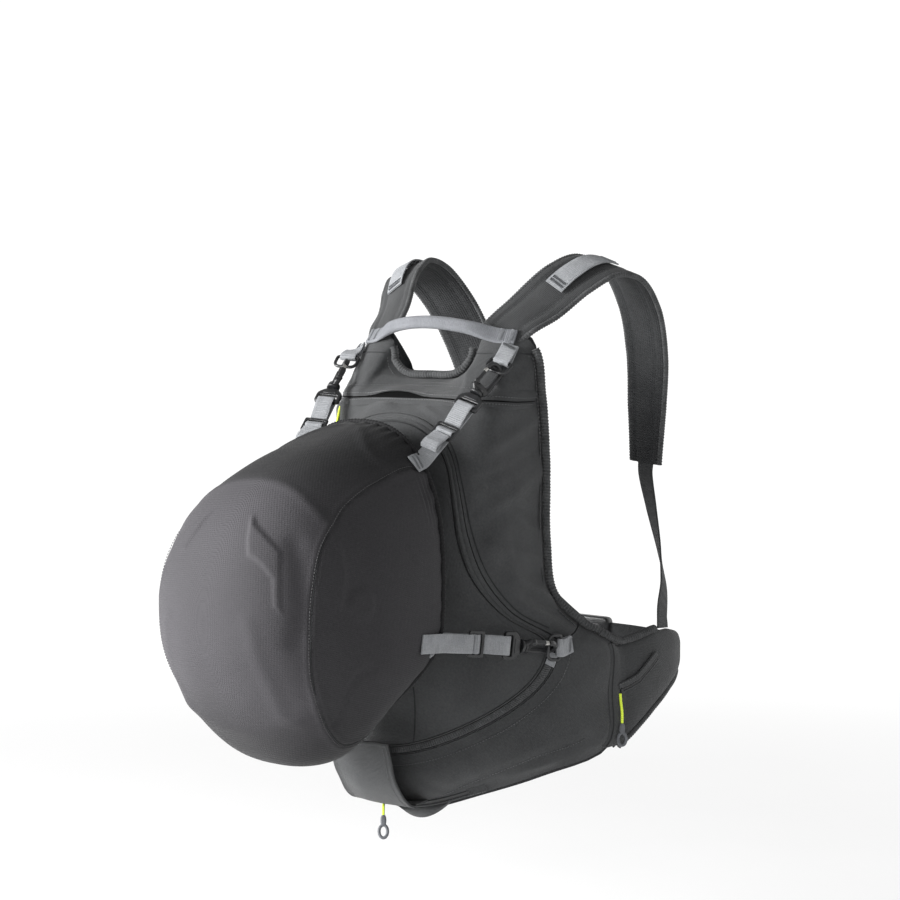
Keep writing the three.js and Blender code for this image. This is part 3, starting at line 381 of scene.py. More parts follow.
# the handle's webbing: the same yarn as the grey webbing, drawn darker as painted shade; it reads almost
# white in the light
shadedHandleWebbing = wovenCloth("polyester_handle_webbing_shaded", {
    "thread": 1.3, "speckle": 1.4, "cloud": 20, "dark": "#686a6e", "light": "#7e8084", "relief": 1.4,
    "shader": {"Roughness": 0.75, "IOR": 1.5, "Specular IOR Level": 0.3, "Sheen Weight": 0.1,
               "Sheen Roughness": 0.4}})
# woven zip tape and its nylon coil: near black, the coil glossier than the tape; the same near-black cloth is
# laid along seams as painted shadow
zipTapeAndSeamShadow = wovenCloth("woven_zip_tape_and_seam_shadow", {
    "thread": 1.2, "speckle": 1.6, "cloud": 20, "dark": "#1f2021", "light": "#2d2e2f", "relief": 1.4,
    "shader": {"Roughness": 0.8, "IOR": 1.5, "Specular IOR Level": 0.3}})
# dull near-black sheet inside the pocket: painted shadow, so the open mouth reads as a dark slot
pocketShade = wovenCloth("pocket_mouth_shadow_black", {
    "thread": 1.2, "speckle": 1.6, "cloud": 20, "dark": "#060606", "light": "#0b0b0b", "relief": 0.6,
    "shader": {"Roughness": 0.95, "IOR": 1.5, "Specular IOR Level": 0.1}})
# three-dimensional spacer mesh on the padding: open, dark and matt
spacerMesh = wovenCloth("polyester_spacer_mesh", {
    "thread": 3.0, "speckle": 2.4, "cloud": 40, "dark": "#1f2021", "light": "#343536", "relief": 3.2,
    "shader": {"Roughness": 0.9, "IOR": 1.5, "Specular IOR Level": 0.25}})


def mouldedPlastic(name, look):  # spark-eroded mould texture with slight wear and handling marks
    material, tree = newMaterial(name)
    place = addNode(tree, "ShaderNodeTexCoord").outputs["Object"]
    grain = addNode(tree, "ShaderNodeTexNoise", {"Scale": 1 / (look["grain"] * mm), "Detail": 3.0},
                    {"Vector": place})
    marks = addNode(tree, "ShaderNodeTexNoise", {"Scale": 1 / (9 * mm), "Detail": 4.0, "Roughness": 0.6},
                    {"Vector": place})
    ramp = addNode(tree, "ShaderNodeValToRGB", {}, {"Fac": marks.outputs[0]})
    ramp.color_ramp.elements[0].position, ramp.color_ramp.elements[1].position = 0.35, 0.7
    ramp.color_ramp.elements[0].color = linear(look["dark"])
    ramp.color_ramp.elements[1].color = linear(look["light"])
    finishMaterial(tree, ramp.outputs[0], grain.outputs[0], look["shader"])
    return material


# injection-moulded acetal: black, satin, with soft highlights along the rounded edges
blackAcetal = mouldedPlastic("acetal_moulded_black", {
    "grain": 0.9, "dark": "#141516", "light": "#222325",
    "shader": {"Roughness": 0.33, "IOR": 1.48, "Specular IOR Level": 0.6}})
# nylon monofilament coil: black and glossier than its tape
nylonCoil = mouldedPlastic("nylon_coil_black", {
    "grain": 0.8, "dark": "#141516", "light": "#222325",
    "shader": {"Roughness": 0.5, "IOR": 1.53, "Specular IOR Level": 0.5}})
# soft moulded PVC of the pull ends: grey and matt
softPvc = mouldedPlastic("pvc_moulded_grey", {
    "grain": 1.1, "dark": "#4c4e52", "light": "#626468",
    "shader": {"Roughness": 0.6, "IOR": 1.53, "Specular IOR Level": 0.4}})
# nickel-plated sprung tip of the hooks: small and bright
platedSteel = mouldedPlastic("nickel_plated_steel", {
    "grain": 1.4, "dark": "#a9a8a4", "light": "#c9c8c4", "shader": {"Roughness": 0.28, "Metallic": 1.0}})
# bonded polyester sewing thread: tone on tone, slightly shiny
sewingThread = mouldedPlastic("bonded_thread_charcoal", {
    "grain": 1.0, "dark": "#505152", "light": "#626364", "shader": {"Roughness": 0.6, "IOR": 1.5}})
blackThread = mouldedPlastic("bonded_thread_black", {
    "grain": 1.0, "dark": "#262627", "light": "#343435", "shader": {"Roughness": 0.6, "IOR": 1.5}})
greyThread = mouldedPlastic("bonded_thread_grey", {
    "grain": 1.0, "dark": "#76787b", "light": "#8a8c8f", "shader": {"Roughness": 0.6, "IOR": 1.5}})


def braidedCord(name, look):  # two sets of strands wound both ways round the cord
    material, tree = newMaterial(name)
    place = addNode(tree, "ShaderNodeTexCoord").outputs["Object"]
    scale = waveScale(look["strand"])
    one = addNode(tree, "ShaderNodeTexWave", {"bands_direction": "DIAGONAL", "Scale": scale},
                  {"Vector": place})
    turned = addNode(tree, "ShaderNodeMapping", {"Scale": (-1, 1, 1)}, {"Vector": place})
    two = addNode(tree, "ShaderNodeTexWave", {"bands_direction": "DIAGONAL", "Scale": scale},
                  {"Vector": turned.outputs[0]})
    both = addNode(tree, "ShaderNodeMath", {"operation": "MAXIMUM"}, {0: one.outputs[1], 1: two.outputs[1]})
    ramp = addNode(tree, "ShaderNodeValToRGB", {}, {"Fac": both.outputs[0]})
    ramp.color_ramp.elements[0].color = linear(look["dark"])
    ramp.color_ramp.elements[1].color = linear(look["light"])
    finishMaterial(tree, ramp.outputs[0], both.outputs[0], look["shader"])
    return material


# braided fluorescent polyester: lime, nearly glowing
limeCord = braidedCord("polyester_braid_lime", {
    "strand": 1.2, "dark": "#c3dc1e", "light": "#e4fb4a", "shader": {"Roughness": 0.6, "IOR": 1.5}})
print("materials made")

# the camera, level with the yoke and to the right of behind

cameraView = {"azimuth": 40, "elevation": 3.5, "distance": 2300, "lens": 82.8}


def makeCamera():
    a, e = math.radians(cameraView["azimuth"]), math.radians(cameraView["elevation"])
    back = Vector((math.sin(a) * math.cos(e), -math.cos(a) * math.cos(e), math.sin(e)))
    lens = bpy.data.cameras.new("view")
    lens.lens, lens.sensor_width = cameraView["lens"], 36
    camera = bpy.data.objects.new("view", lens)
    camera.location = back * cameraView["distance"] * mm
    camera.rotation_euler = (-back).to_track_quat("-Z", "Y").to_euler()
    bpy.context.scene.collection.objects.link(camera)
    bpy.context.scene.camera = camera


makeCamera()

# the pack's cloth, from stations down its right half: the front zip, and the edge against the back

cloth = {"gap": 0.4, "thick": 2, "pad": 12, "zipWidth": 12, "frontDome": 2.2, "wallBulge": 9, "backDome": 3}
frontCentre = np.array([0, -130, -120.0])
stations = [
    {"zip": (0, -92, 40), "edge": (0, -24, 80)},
    {"zip": (32, -93, 36), "edge": (38, -24, 83)},
    {"zip": (58, -95, 24), "edge": (58, -23, 100)},
    {"zip": (74, -96, 8), "edge": (66, -21, 123)},
    {"zip": (84, -97, -10), "edge": (90, -13, 130)},
    {"zip": (90, -99, -30), "edge": (116, -4, 120)},
    {"zip": (94, -98, -55), "edge": (121, 4, 70)},
    {"zip": (98, -95, -85), "edge": (124, 8, 0)},
    {"zip": (107, -84, -125), "edge": (125, 8, -90)},
    {"zip": (122, -55, -165), "edge": (131, 12, -150)},
    {"zip": (145, -2, -203), "edge": (150, 36, -183)},
    {"zip": (144, -5, -220), "edge": (172, 64, -206)},
    {"zip": (140, -14, -236), "edge": (174, 64, -258)},
    {"zip": (132, -28, -252), "edge": (172, 61, -316)},
    {"zip": (112, -56, -274), "edge": (136, -10, -342)},
    {"zip": (75, -90, -298), "edge": (88, -56, -362)},
    {"zip": (38, -110, -312), "edge": (42, -79, -378)},
    {"zip": (0, -118, -317), "edge": (0, -85, -383)},
]
ringStation = 10
bottomStation = len(stations) - 1
laps = 2 * bottomStation
zipSeam = cloth["zipWidth"] / 2 + cloth["gap"]


def closedLoop(name):
    right = np.array([row[name] for row in stations], float)
    return np.vstack([right, mirrored(right[1:bottomStation][::-1])])


zipLoop, edgeLoop = closedLoop("zip"), closedLoop("edge")


def wallLength(station):
    at = np.ravel(np.asarray(station, float)) % laps
    long = np.linalg.norm(runThrough(zipLoop, at, True) - runThrough(edgeLoop, at, True), axis=1)
    return long.reshape(np.shape(station))


def frontLength(station):
    at = np.ravel(np.asarray(station, float)) % laps
    return np.linalg.norm(runThrough(zipLoop, at, True) - frontCentre, axis=1).reshape(np.shape(station))


def clothPoint(station, distance):  # distance from the front zip, below zero towards the middle of the front
    station, distance = np.broadcast_arrays(np.asarray(station, float), np.asarray(distance, float))
    at, d = station.ravel() % laps, distance.ravel()[:, None]
    zipAt, edgeAt = runThrough(zipLoop, at, True), runThrough(edgeLoop, at, True)
    run = np.maximum(1 + d / np.linalg.norm(zipAt - frontCentre, axis=1, keepdims=True), 0)
    front = frontCentre + (zipAt - frontCentre) * run
    front[:, 1] = frontCentre[1] + (zipAt[:, 1] - frontCentre[1]) * run[:, 0] ** cloth["frontDome"]
    run = d / np.linalg.norm(edgeAt - zipAt, axis=1, keepdims=True)
    outward = unit((zipAt + edgeAt) / 2 * (1, 1, 0) - (0, cloth["pad"], 0))
    side = zipAt + (edgeAt - zipAt) * run + outward * cloth["wallBulge"] * np.sin(np.pi * run)
    return np.where(d <= 0, front, side).reshape(station.shape + (3,))


def clothNormal(station, distance):
    at, off = np.asarray(station), np.asarray(distance)
    along = clothPoint(at + 0.05, distance) - clothPoint(at - 0.05, distance)
    across = clothPoint(station, off + 1) - clothPoint(station, off - 1)
    return unit(np.cross(along, across))


def onCloth(station, distance, height):
    return clothPoint(station, distance) + clothNormal(station, distance) * np.asarray(height)[..., None]


def onEdge(station, depth, height):  # measured back from the cloth's edge at the back panel
    return onCloth(station, wallLength(station) - depth, height)


# right waist wing, from the pack to the belt: inner face in plan, upper and lower edges, thickness
wingRows = [
    {"x": 170, "y": 72.6, "top": -208, "bottom": -325, "thick": 9},
    {"x": 173, "y": 98, "top": -206, "bottom": -308, "thick": 15},
    {"x": 174, "y": 134, "top": -200, "bottom": -286, "thick": 16},
    {"x": 170, "y": 170, "top": -201, "bottom": -268, "thick": 15},
    {"x": 158, "y": 204, "top": -209, "bottom": -257, "thick": 12},
    {"x": 138, "y": 231, "top": -217, "bottom": -250, "thick": 9},
]


def wingAcross(at):
    spots = np.array([(row["x"], row["y"], 0) for row in wingRows], float)
    along = unit(runThrough(spots, np.minimum(np.asarray(at) + 0.02, 5)) - runThrough(spots,
            np.maximum(np.asarray(at) - 0.02, 0)))
    return np.stack([along[:, 1], -along[:, 0], 0 * along[:, 0]], 1)


def wingPoint(at, thickShare, height):
    at, thickShare, height = (np.ravel(v).astype(float) for v in np.broadcast_arrays(at, thickShare, height))
    spots = np.array([(row["x"], row["y"], row["thick"]) for row in wingRows], float)
    plan = runThrough(spots, at)
    return np.stack([plan[:, 0], plan[:, 1], height], 1) + wingAcross(at) * (thickShare * plan[:, 2])[:, None]


def wingRise(at, share):
    return between(wingRows, "bottom", at) * (1 - share) + between(wingRows, "top", at) * share


# the four zip pulls: lime cord and moulded loop end

pull = {"radius": 1.5, "length": 32, "endLength": 26, "endHalf": 4.6, "endWire": 2}
hands = [{"name": "right", "sign": 1}, {"name": "left", "sign": -1}]


def pullEnd(name, top, down, face):  # a narrow neck over an oval eye, moulded round the cord's knot
    across = unit(np.cross(down, face))
    start = top + down * cloth["gap"]
    neck = [(0, 1.9), (2, 2.9), (5, 3.3), (9, 3.0), (11.5, 2.6)]  # distance down and half width
    rows = np.array([start + down * d for d, _ in neck])
    shape = np.stack([roundBand(2 * half, 3.2) for _, half in neck])
    turn = np.linspace(0, 2 * np.pi, 32, endpoint=False)
    middle = start + down * (pull["endLength"] - 8.6)
    path = middle + np.outer(np.cos(turn), across) * pull["endHalf"] + np.outer(np.sin(turn), down) * 6.9
    profile = circle(pull["endWire"], 12) * (0.8, 0.85)
    parts = [tube(sweep(rows, across, shape)), tube(sweep(path, face, profile, True), True)]
    return makePiece(f"loop_{name}", parts, [softPvc], [f"pull_end_{name}"])


def zipPull(name, points, face):
    path = smoothPath(points, 20)
    curve = bpy.data.curves.new(f"pull_cord_{name}_line", "CURVE")
    curve.dimensions = "3D"
    curve.bevel_depth = pull["radius"] * mm
    curve.bevel_resolution = 4
    curve.use_fill_caps = True
    line = curve.splines.new("POLY")
    line.points.add(len(path) - 1)
    for spot, point in zip(line.points, path):
        spot.co = (*(point * mm), 1)
    curve.materials.append(limeCord)
    cord = bpy.data.objects.new(f"cord_{name}", curve)
    bpy.context.scene.collection.objects.link(cord)
    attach(cord, "pack")
    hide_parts(f"pull_cord_{name}")
    end = pullEnd(name, path[-1], unit(path[-1] - path[-2]), np.asarray(face, float))


wingPull = {"position": 0.04, "height": -262, "stand": 2.1}
topPull = {"station": -4.4, "above": 75, "below": 20, "height": 4.7}
bottomPull = [(-17, -91.6, -381.4), (-8, -102.5, -381.2), (-2.6, -109, -381.6), (0, -112, -390)]


def makePulls():
    out = wingAcross([wingPull["position"]])[0]
    start = wingPoint(wingPull["position"], 1, wingPull["height"])[0] + out * wingPull["stand"]
    for hand in hands:
        flip = np.array([hand["sign"], 1, 1])
        turned = unit(out * 0.85 + (0, -0.53, 0))  # the loop end hangs a little away from the wing
        path = np.array([start + out * away - (0, 0, low)
                         for away, low in ((0, 0), (1.0, 9), (2.8, 20), (3.0, pull["length"]))])
        zipPull(f"{hand['name']}_wing", path * flip, turned * flip)
    high = onCloth(topPull["station"], topPull["above"], topPull["height"])
    down = unit(onCloth(topPull["station"], topPull["below"], topPull["height"]) - high)
    zipPull("top_pocket", [high, high + down * pull["length"]],
            clothNormal(topPull["station"], topPull["above"]))
    zipPull("bottom_pocket", np.array(bottomPull), (0.64, -0.77, 0))


makePulls()
print("camera and cords in place")

# cloth panels of the pack


def nearLine(points, line):  # distance to the nearest point of a line
    spots = points.reshape(-1, 3)
    away = np.full(len(spots), np.inf)
    for start in range(0, len(line), 60):
        away = np.minimum(away, np.linalg.norm(spots[:, None] - line[None, start:start + 60], axis=2).min(1))
    return away.reshape(points.shape[:-1])


def clothLine(at, distance, height, step=1.2):
    return evenPath(onCloth(at, distance, np.full(np.shape(at), float(height))), step)


def levelLine(level, first, last, height=2.0):  # where the yoke crosses a level
    at = np.linspace(first, last, 90)
    low, high = (runThrough(loop, at % laps, True)[:, 2] for loop in (zipLoop, edgeLoop))
    share = np.clip((level - low) / (high - low), 0.03, 0.985)
    return clothLine(at, share * wallLength(at), height)


def edgeLine(first, last, depth, height=2.0):
    at = np.linspace(first, last, int(abs(last - first) * 8) + 2)
    return clothLine(at, wallLength(at) - depth, height)


def zipLine(first, last, distance, height=2.0):
    at = np.linspace(first, last, int(abs(last - first) * 8) + 2)
    return clothLine(at, np.full(len(at), float(distance)), height)


def clothPanel(look, seams, folds):
    closed = look.get("closed", False)
    s = np.linspace(look["from"], look["to"], look["columns"], endpoint=not closed)[None, :]
    share = np.linspace(0, 1, look["rows"])[:, None]
    low, high = look["low"](s), look["high"](s)
    distance = low + (high - low) * share
    base, normal = clothPoint(s, distance), clothNormal(s, distance)
    if closed:
        base[0], normal[0] = frontCentre, (0, -1, 0)
        rim = (1 - share) * (high - low)
    else:
        rim = np.minimum(np.minimum(share, 1 - share) * (high - low),
                         np.minimum(s - look["from"], look["to"] - s) * 25)
    hold = smoothStep(rim, 0, 14)
    lift = hold * (look["puff"] + ripple(base, look["slack"], look["wave"],
                                         look["seed"]) + foldHeights(base, folds))
    for seam in seams:
        away = nearLine(base, seam)
        lift *= 1 - 0.75 * np.exp(-((away / 8) ** 2))
        lift -= 0.9 * np.exp(-((away / 1.8) ** 2))
    lift = lift[..., None]
    return wall(base + normal * (cloth["thick"] + lift), base + normal * (0.2 + np.maximum(lift, -0.4)),
                closed)


yoke = {"from": -ringStation + 0.02, "to": ringStation - 0.02, "columns": 290, "rows": 86,
        "puff": 1.5, "slack": 40, "wave": 4.6, "seed": 3.0,
        "low": lambda s: zipSeam + 0 * s, "high": lambda s: wallLength(s) - 0.2}
welt = {"level": 57, "first": -6.0, "last": 6.0, "gapeAt": -14, "gapeHalf": 46}
yokeFolds = [  # soft ridges and creases, in millimetres; mirrored ones carry both
    {"start": (113, -30, 116), "end": (92, -66, 74), "width": 8, "height": 4.2, "both": True},
    {"start": (118, -12, 100), "end": (104, -52, 66), "width": 6, "height": -3.4, "both": True},
    {"start": (108, -30, 92), "end": (112, -52, 62), "width": 6, "height": 3.0, "both": True},
    {"start": (60, -40, 100), "end": (72, -64, 76), "width": 5, "height": 3.4, "both": True},
    {"start": (46, -40, 88), "end": (38, -62, 73), "width": 4, "height": -2.8},
    {"start": (30, -38, 84), "end": (26, -60, 74), "width": 3.5, "height": 2.4},
    {"start": (10, -36, 80), "end": (4, -62, 73), "width": 4, "height": 2.2},
    {"start": (-8, -36, 80), "end": (-14, -60, 73), "width": 4, "height": -2.2},
    {"start": (-26, -36, 82), "end": (-24, -58, 73), "width": 4, "height": 2.6},
    {"start": (-46, -38, 88), "end": (-36, -60, 73), "width": 4.5, "height": -2.8},
    {"start": (30, -80, 50), "end": (56, -84, 38), "width": 5, "height": 2.2},
    {"start": (-30, -80, 52), "end": (-4, -84, 44), "width": 5, "height": 2.0},
    {"start": (100, -66, 52), "end": (112, -36, 30), "width": 7, "height": 5.0, "both": True},
    {"start": (120, -10, 34), "end": (104, -74, 6), "width": 9, "height": 6.0, "both": True},
    {"start": (121, -6, 4), "end": (104, -78, -26), "width": 6, "height": -4.5, "both": True},
    {"start": (122, -4, -20), "end": (106, -78, -60), "width": 9, "height": 6.5, "both": True},
    {"start": (126, -2, -74), "end": (110, -70, -34), "width": 6, "height": -4.5, "both": True},
    {"start": (128, -6, -112), "end": (112, -68, -92), "width": 6, "height": 5.0, "both": True},
    {"start": (130, -4, -134), "end": (118, -56, -112), "width": 6, "height": -2.8, "both": True},
    {"start": (138, 10, -160), "end": (122, -44, -132), "width": 6, "height": 4.6, "both": True},
    {"start": (144, 14, -176), "end": (130, -34, -152), "width": 5, "height": -3.0, "both": True},
]


def bothSides(folds):
    made = [fold for fold in folds]
    for fold in folds:
        if fold.get("both"):
            made.append({**fold, "start": tuple(mirrored(fold["start"])),
                         "end": tuple(mirrored(fold["end"]))})
    return made


def gape(x):  # how far the pocket's mouth stands open
    return np.clip(1 - ((x - welt["gapeAt"]) / welt["gapeHalf"]) ** 2, 0, 1) ** 1.3


upperLip = {"way": 1, "depth": 15, "gape": 6.0, "rest": 0.4, "lift": 2.4, "swell": 1.2, "roll": 1.0,
            "rollGape": 5.5, "rows": 10}
lowerLip = {"way": -1, "depth": 11, "gape": 2.2, "rest": 0.8, "lift": 2.2, "swell": 1.4, "roll": 1.2,
            "rollGape": 1.6, "rows": 8}


def pocketLip(at, mouthAt, opened, lip):  # from its seam to the mouth, rolled out where the mouth gapes
    rows = []
    for step in np.linspace(0, 1, lip["rows"]):
        across = lip["depth"] * (1 - step) + (lip["gape"] * opened + lip["rest"]) * step
        roll = (lip["roll"] + lip["rollGape"] * opened) * step**2
        rows.append(onCloth(at, mouthAt + lip["way"] * across,
                            lip["lift"] + lip["swell"] * math.sin(math.pi * step) + roll))
    return np.array(rows)


def outOfCloth(line):  # which way the cloth faces along a line near the yoke
    return unit((line - (0, 10, 0)) * (1, 1, 0.25))


def makeYoke():
    second = levelLine(71, -4.3, 4.3)
    mouth = levelLine(welt["level"], welt["first"], welt["last"])
    facings = [levelLine(107, 2.75, 5.2), levelLine(107, -5.2, -2.75)]
    arches = [zipLine(2.2, 9.6, 11.5), zipLine(-9.6, -2.2, 11.5)]
    sides = [edgeLine(5.2, 9.9, 11), edgeLine(-9.9, -5.2, 11)]
    parts = [clothPanel(yoke, [second, mouth] + arches + facings, bothSides(yokeFolds))]
    # the dark strips laid along the mouth, arches and facings are painted shadow
    for line in [mouth] + arches + facings:
        parts.append(seamShadow(line + outOfCloth(line) * 0.5, outOfCloth(line), 1.3, 2))
    for line, offset in [(second, 0)] + [(line, -3) for line in facings]:
        spots = line[::2]
        parts.append(stitches(spots + outOfCloth(spots) * 1.2 + (0, 0, offset), outOfCloth(spots), finish=1))
    # the dark strips along the bound sides are painted shadow
    for line in sides:
        parts.append(seamShadow(line + outOfCloth(line) * 1.4, outOfCloth(line), 1.2, 2))
        parts.append(stitches(line + outOfCloth(line) * 2.2, outOfCloth(line), 4.2, 2.4, 0.5, finish=1))
    makePiece("yoke", parts, [packCloth, sewingThread, zipTapeAndSeamShadow], ["yoke_body"])

    at = np.linspace(welt["first"], welt["last"], 210)  # the pocket's upper lip stands off a near-black sheet of painted shadow
    low, high = (runThrough(loop, at % laps, True)[:, 2] for loop in (zipLoop, edgeLoop))
    share = np.clip((welt["level"] - low) / (high - low), 0.03, 0.97)
    mouthAt = share * wallLength(at)
    opened = gape(clothPoint(at, mouthAt)[:, 0])
    upper = pocketLip(at, mouthAt, opened, upperLip)
    lower = pocketLip(at, mouthAt, opened, lowerLip)
    out = clothNormal(at, mouthAt)
    mouthShadow = np.array([onCloth(at, mouthAt + 8 * rise * opened + 0.5 * rise, np.full(len(at), 4.3))
                       for rise in np.linspace(-0.4, 1.2, 6)])
    parts = [wall(grid + out * 0.6, grid - out * 0.6, finish=which)
             for grid, which in ((upper, 0), (lower, 0), (mouthShadow, 2))]
    parts.append(stitches(lower[5] + out * 0.9, out, finish=1))
    parts.append(stitches(upper[6] + out * 0.9, out, finish=1))
    makePiece("yoke_welt", parts, [packCloth, sewingThread, pocketShade])


front = {"from": 0, "to": laps, "columns": 204, "rows": 46, "closed": True, "puff": 0.6, "slack": 50,
         "wave": 3.2, "seed": 8.0, "low": lambda s: -frontLength(s), "high": lambda s: -zipSeam + 0 * s}
frontSeam = {"stations": (15.2, 15.86), "inside": (-62, -6.5), "out": (0.35, -0.93, -0.1)}
band = {"from": ringStation + 0.02, "to": laps - ringStation - 0.02, "columns": 232, "rows": 58,
        "puff": 1.2, "slack": 46, "wave": 4.0, "seed": 5.0,
        "low": lambda s: zipSeam + 0 * s, "high": lambda s: wallLength(s) - 0.2}
bandSeam = {"from": 10.4, "inside": 18, "climb": [13.2, 14.4, 15.9], "depth": [30, 22, 9]}
bandFolds = [
    {"start": (120, -30, -262), "end": (150, 20, -300), "width": 8, "height": 3.6, "both": True},
    {"start": (100, -60, -290), "end": (150, 10, -312), "width": 6, "height": -3.0, "both": True},
    {"start": (80, -86, -305), "end": (92, -56, -352), "width": 8, "height": 3.0, "both": True},
    {"start": (60, -92, -322), "end": (140, -6, -330), "width": 6, "height": 3.2, "both": True},
    {"start": (156, 30, -216), "end": (166, 62, -270), "width": 8, "height": 3.2, "both": True},
    {"start": (30, -104, -330), "end": (64, -82, -356), "width": 6, "height": -2.6, "both": True},
]


def makeFront():
    at = np.linspace(*frontSeam["stations"], 30)
    inside = np.linspace(*frontSeam["inside"], 30)
    tight = clothLine(at, inside, 2.0)
    line = clothLine(at, inside, 2.9)
    out = np.tile(frontSeam["out"], (len(line), 1))
    # the dark strip along the front seam is painted shadow
    parts = [clothPanel(front, [tight], []), seamShadow(line, out, 1.5, 1)]
    makePiece("front", parts, [packCloth, zipTapeAndSeamShadow], ["front_panel"])


bottomPocket = {"stations": (15.15, 16.75), "depth": 7, "gusset": (15.55, 16.95), "hang": 13,
                "box": (14.85, 15.2)}


def makeBand():
    low = zipLine(bandSeam["from"], laps - bandSeam["from"], bandSeam["inside"])
    at = np.linspace(bandSeam["climb"][0], bandSeam["climb"][-1], 40)
    climb = clothLine(at, wallLength(at) - np.interp(at, bandSeam["climb"], bandSeam["depth"]), 2.0)
    seams = [low, climb, mirrored(climb)]
    parts = [clothPanel(band, seams, bothSides(bandFolds))]
    for line in seams:
        normals = unit(line - (0, 60, -280))
        parts.append(stitches(line + normals * 0.9, normals, finish=1))
    makePiece("band", parts, [packCloth, sewingThread], ["lower_band"])

    at = np.linspace(*bottomPocket["stations"], 60)
    line = clothLine(at, wallLength(at) - bottomPocket["depth"], 3.4, 0.6)
    out = unit(line - (0, 20, -330))
    zipper = ribbedBand(line, np.cross(tangents(line), out), 4.6, 2.0, 2.2, 0.25)
    lips = [tube(sweep(line + (0, 0, shift), np.cross(tangents(line), out), roundBand(2.2, 1.8)), finish=1)
            for shift in (3.6, -3.4)]
    at = np.linspace(*bottomPocket["box"], 24)
    patch = clothLine(at, wallLength(at) - bottomPocket["depth"], 3.0, 0.6)
    patchOut = unit(patch - (0, 20, -330))
    box = tube(sweep(patch, np.cross(tangents(patch), patchOut), roundBand(11, 1.6)), finish=1)
    rims = [stitches(patch + patchOut * 1.0 + (0, 0, shift), patchOut, 2.6, 1.8, 0.4, finish=2)
            for shift in (4, -4)]
    at = np.linspace(*bottomPocket["gusset"], 50)
    sag = bottomPocket["hang"] * np.sin(np.pi * np.linspace(0, 1, 50)) ** 0.8
    rim = onEdge(at, np.full(50, 2.0), np.full(50, 2.6))
    hung = np.array([rim + np.outer(sag * t, (0, 0.15, -1))
                     + np.outer(np.sin(np.pi * t) * 3.5 * np.ones(50), (0.3, -0.9, 0))
                     for t in np.linspace(0, 1, 12)])
    slump = unit(np.array([0.3, -0.9, 0.1])) * 0.7
    gusset = wall(hung + slump, hung - slump, finish=1)
    slider = tube(sweep(line[-14:-4] + out[-14:-4] * 1.4, np.cross(tangents(line[-14:-4]), out[-14:-4]),
                        roundBand(7, 3.2)))
    makePiece("bottom_zip", [zipper, box, gusset, slider] + lips + rims,
              [nylonCoil, packCloth, sewingThread])


# zips: distance across the tape, height, depth of the ribs, finish of the strip that starts there
archProfile = [
    (-6, 0.6, 0, 1), (-5.4, 0.9, 0, 1), (-4.6, 0.9, 0, 0), (-4.2, 2.0, 0, 0), (-3.4, 2.9, 0, 0),
    (-2.4, 3.1, 0, 0), (-1.4, 2.8, 0, 0), (-0.7, 1.9, 0, 0), (-0.4, 1.3, 0, 0), (0.6, 2.0, 0, 0),
    (2.4, 2.4, 0, 0), (4.2, 2.3, 0, 0), (4.9, 1.8, 0, 1), (5.2, 0.8, 0, 1), (6, 0.6, 0, 1)]
lowProfile = [
    (-6, 0.6, 0, 0), (-5.6, 1.8, 0, 0), (-5.0, 2.3, 0, 0), (-4.4, 2.0, 0, 0), (-4.1, 1.2, 0, 1),
    (-3.8, 0.8, 0, 1), (-3.3, 1.7, 0.25, 2), (-1.2, 2.3, 0.35, 2), (1.2, 2.3, 0.35, 2), (3.4, 1.9, 0.25, 2),
    (3.9, 1.0, 0, 1), (4.4, 0.9, 0, 0), (4.8, 1.8, 0, 0), (5.4, 2.0, 0, 0), (6, 0.6, 0, 0)]


def makeZip(name, replaced, first, last, profile, pitch):
    fine = np.linspace(first, last, 1200)
    lengths = np.linalg.norm(np.diff(clothPoint(fine, 0 * fine), axis=0), axis=1)
    run = np.concatenate([[0], np.cumsum(lengths)])
    along = np.arange(0, run[-1], pitch / 4)
    at = np.interp(along, run, fine)[:, None]
    wave = np.cos(2 * np.pi * along / pitch)[:, None]
    d, h, rib, finish = (np.array(column) for column in zip(*profile))
    top = onCloth(at, d[None], h[None] + rib[None] * wave)
    under = onCloth(at, np.array([[d[-1], d[0]]]), np.full((len(at), 2), 0.2))
    part = tube(np.concatenate([top, under], 1))
    strips = [int(k) for k in finish[:-1]] + [1, 1, 1]
    part["finish"] = strips * (len(at) - 1) + [1, 1]
    makePiece(name, [part], [packCloth, zipTapeAndSeamShadow, edgeTape], [replaced])


makeYoke()
makeFront()
makeBand()
makeZip("arch_zip", "zip_arch", -ringStation + 0.02, ringStation - 0.02, archProfile, 7.2)
makeZip("low_zip", "zip_lower", ringStation + 0.02, laps - ringStation - 0.02, lowProfile, 2.4)
print("pack cloth and zips made")

# bound edges: elastic tape rolled over the raw edge, ribbed by its gathers

binding = {"radius": 4.2, "seat": 1.2, "rib": 3.4, "depth": 0.12, "scoop": (-2.65, 2.65),
           "scoopSeam": (-2.5, 2.5, 12), "scoopRib": 3.6, "side": (5.15, 10.7), "wing": (0.35, 2.15)}


def bindingRoll(path, side, radius, rib=None, depth=None):
    rib, depth = rib or binding["rib"], depth or binding["depth"]
    path = evenPath(path, rib / 4)
    run = np.arange(len(path)) * rib / 4
    uneven = ripple(path, 22, 1.0, 4.0)
    swell = 1 + depth * np.cos(2 * np.pi * run / rib + 1.5 * uneven) + 0.05 * uneven
    return tube(sweep(path, side, circle(1, 11)[None] * (radius * swell)[:, None, None]))


def bindingPath(stationsRun):
    at = np.asarray(stationsRun, float)
    return onEdge(at, np.full(len(at), binding["radius"]),
                  np.full(len(at), cloth["thick"] + binding["seat"] + binding["radius"]))


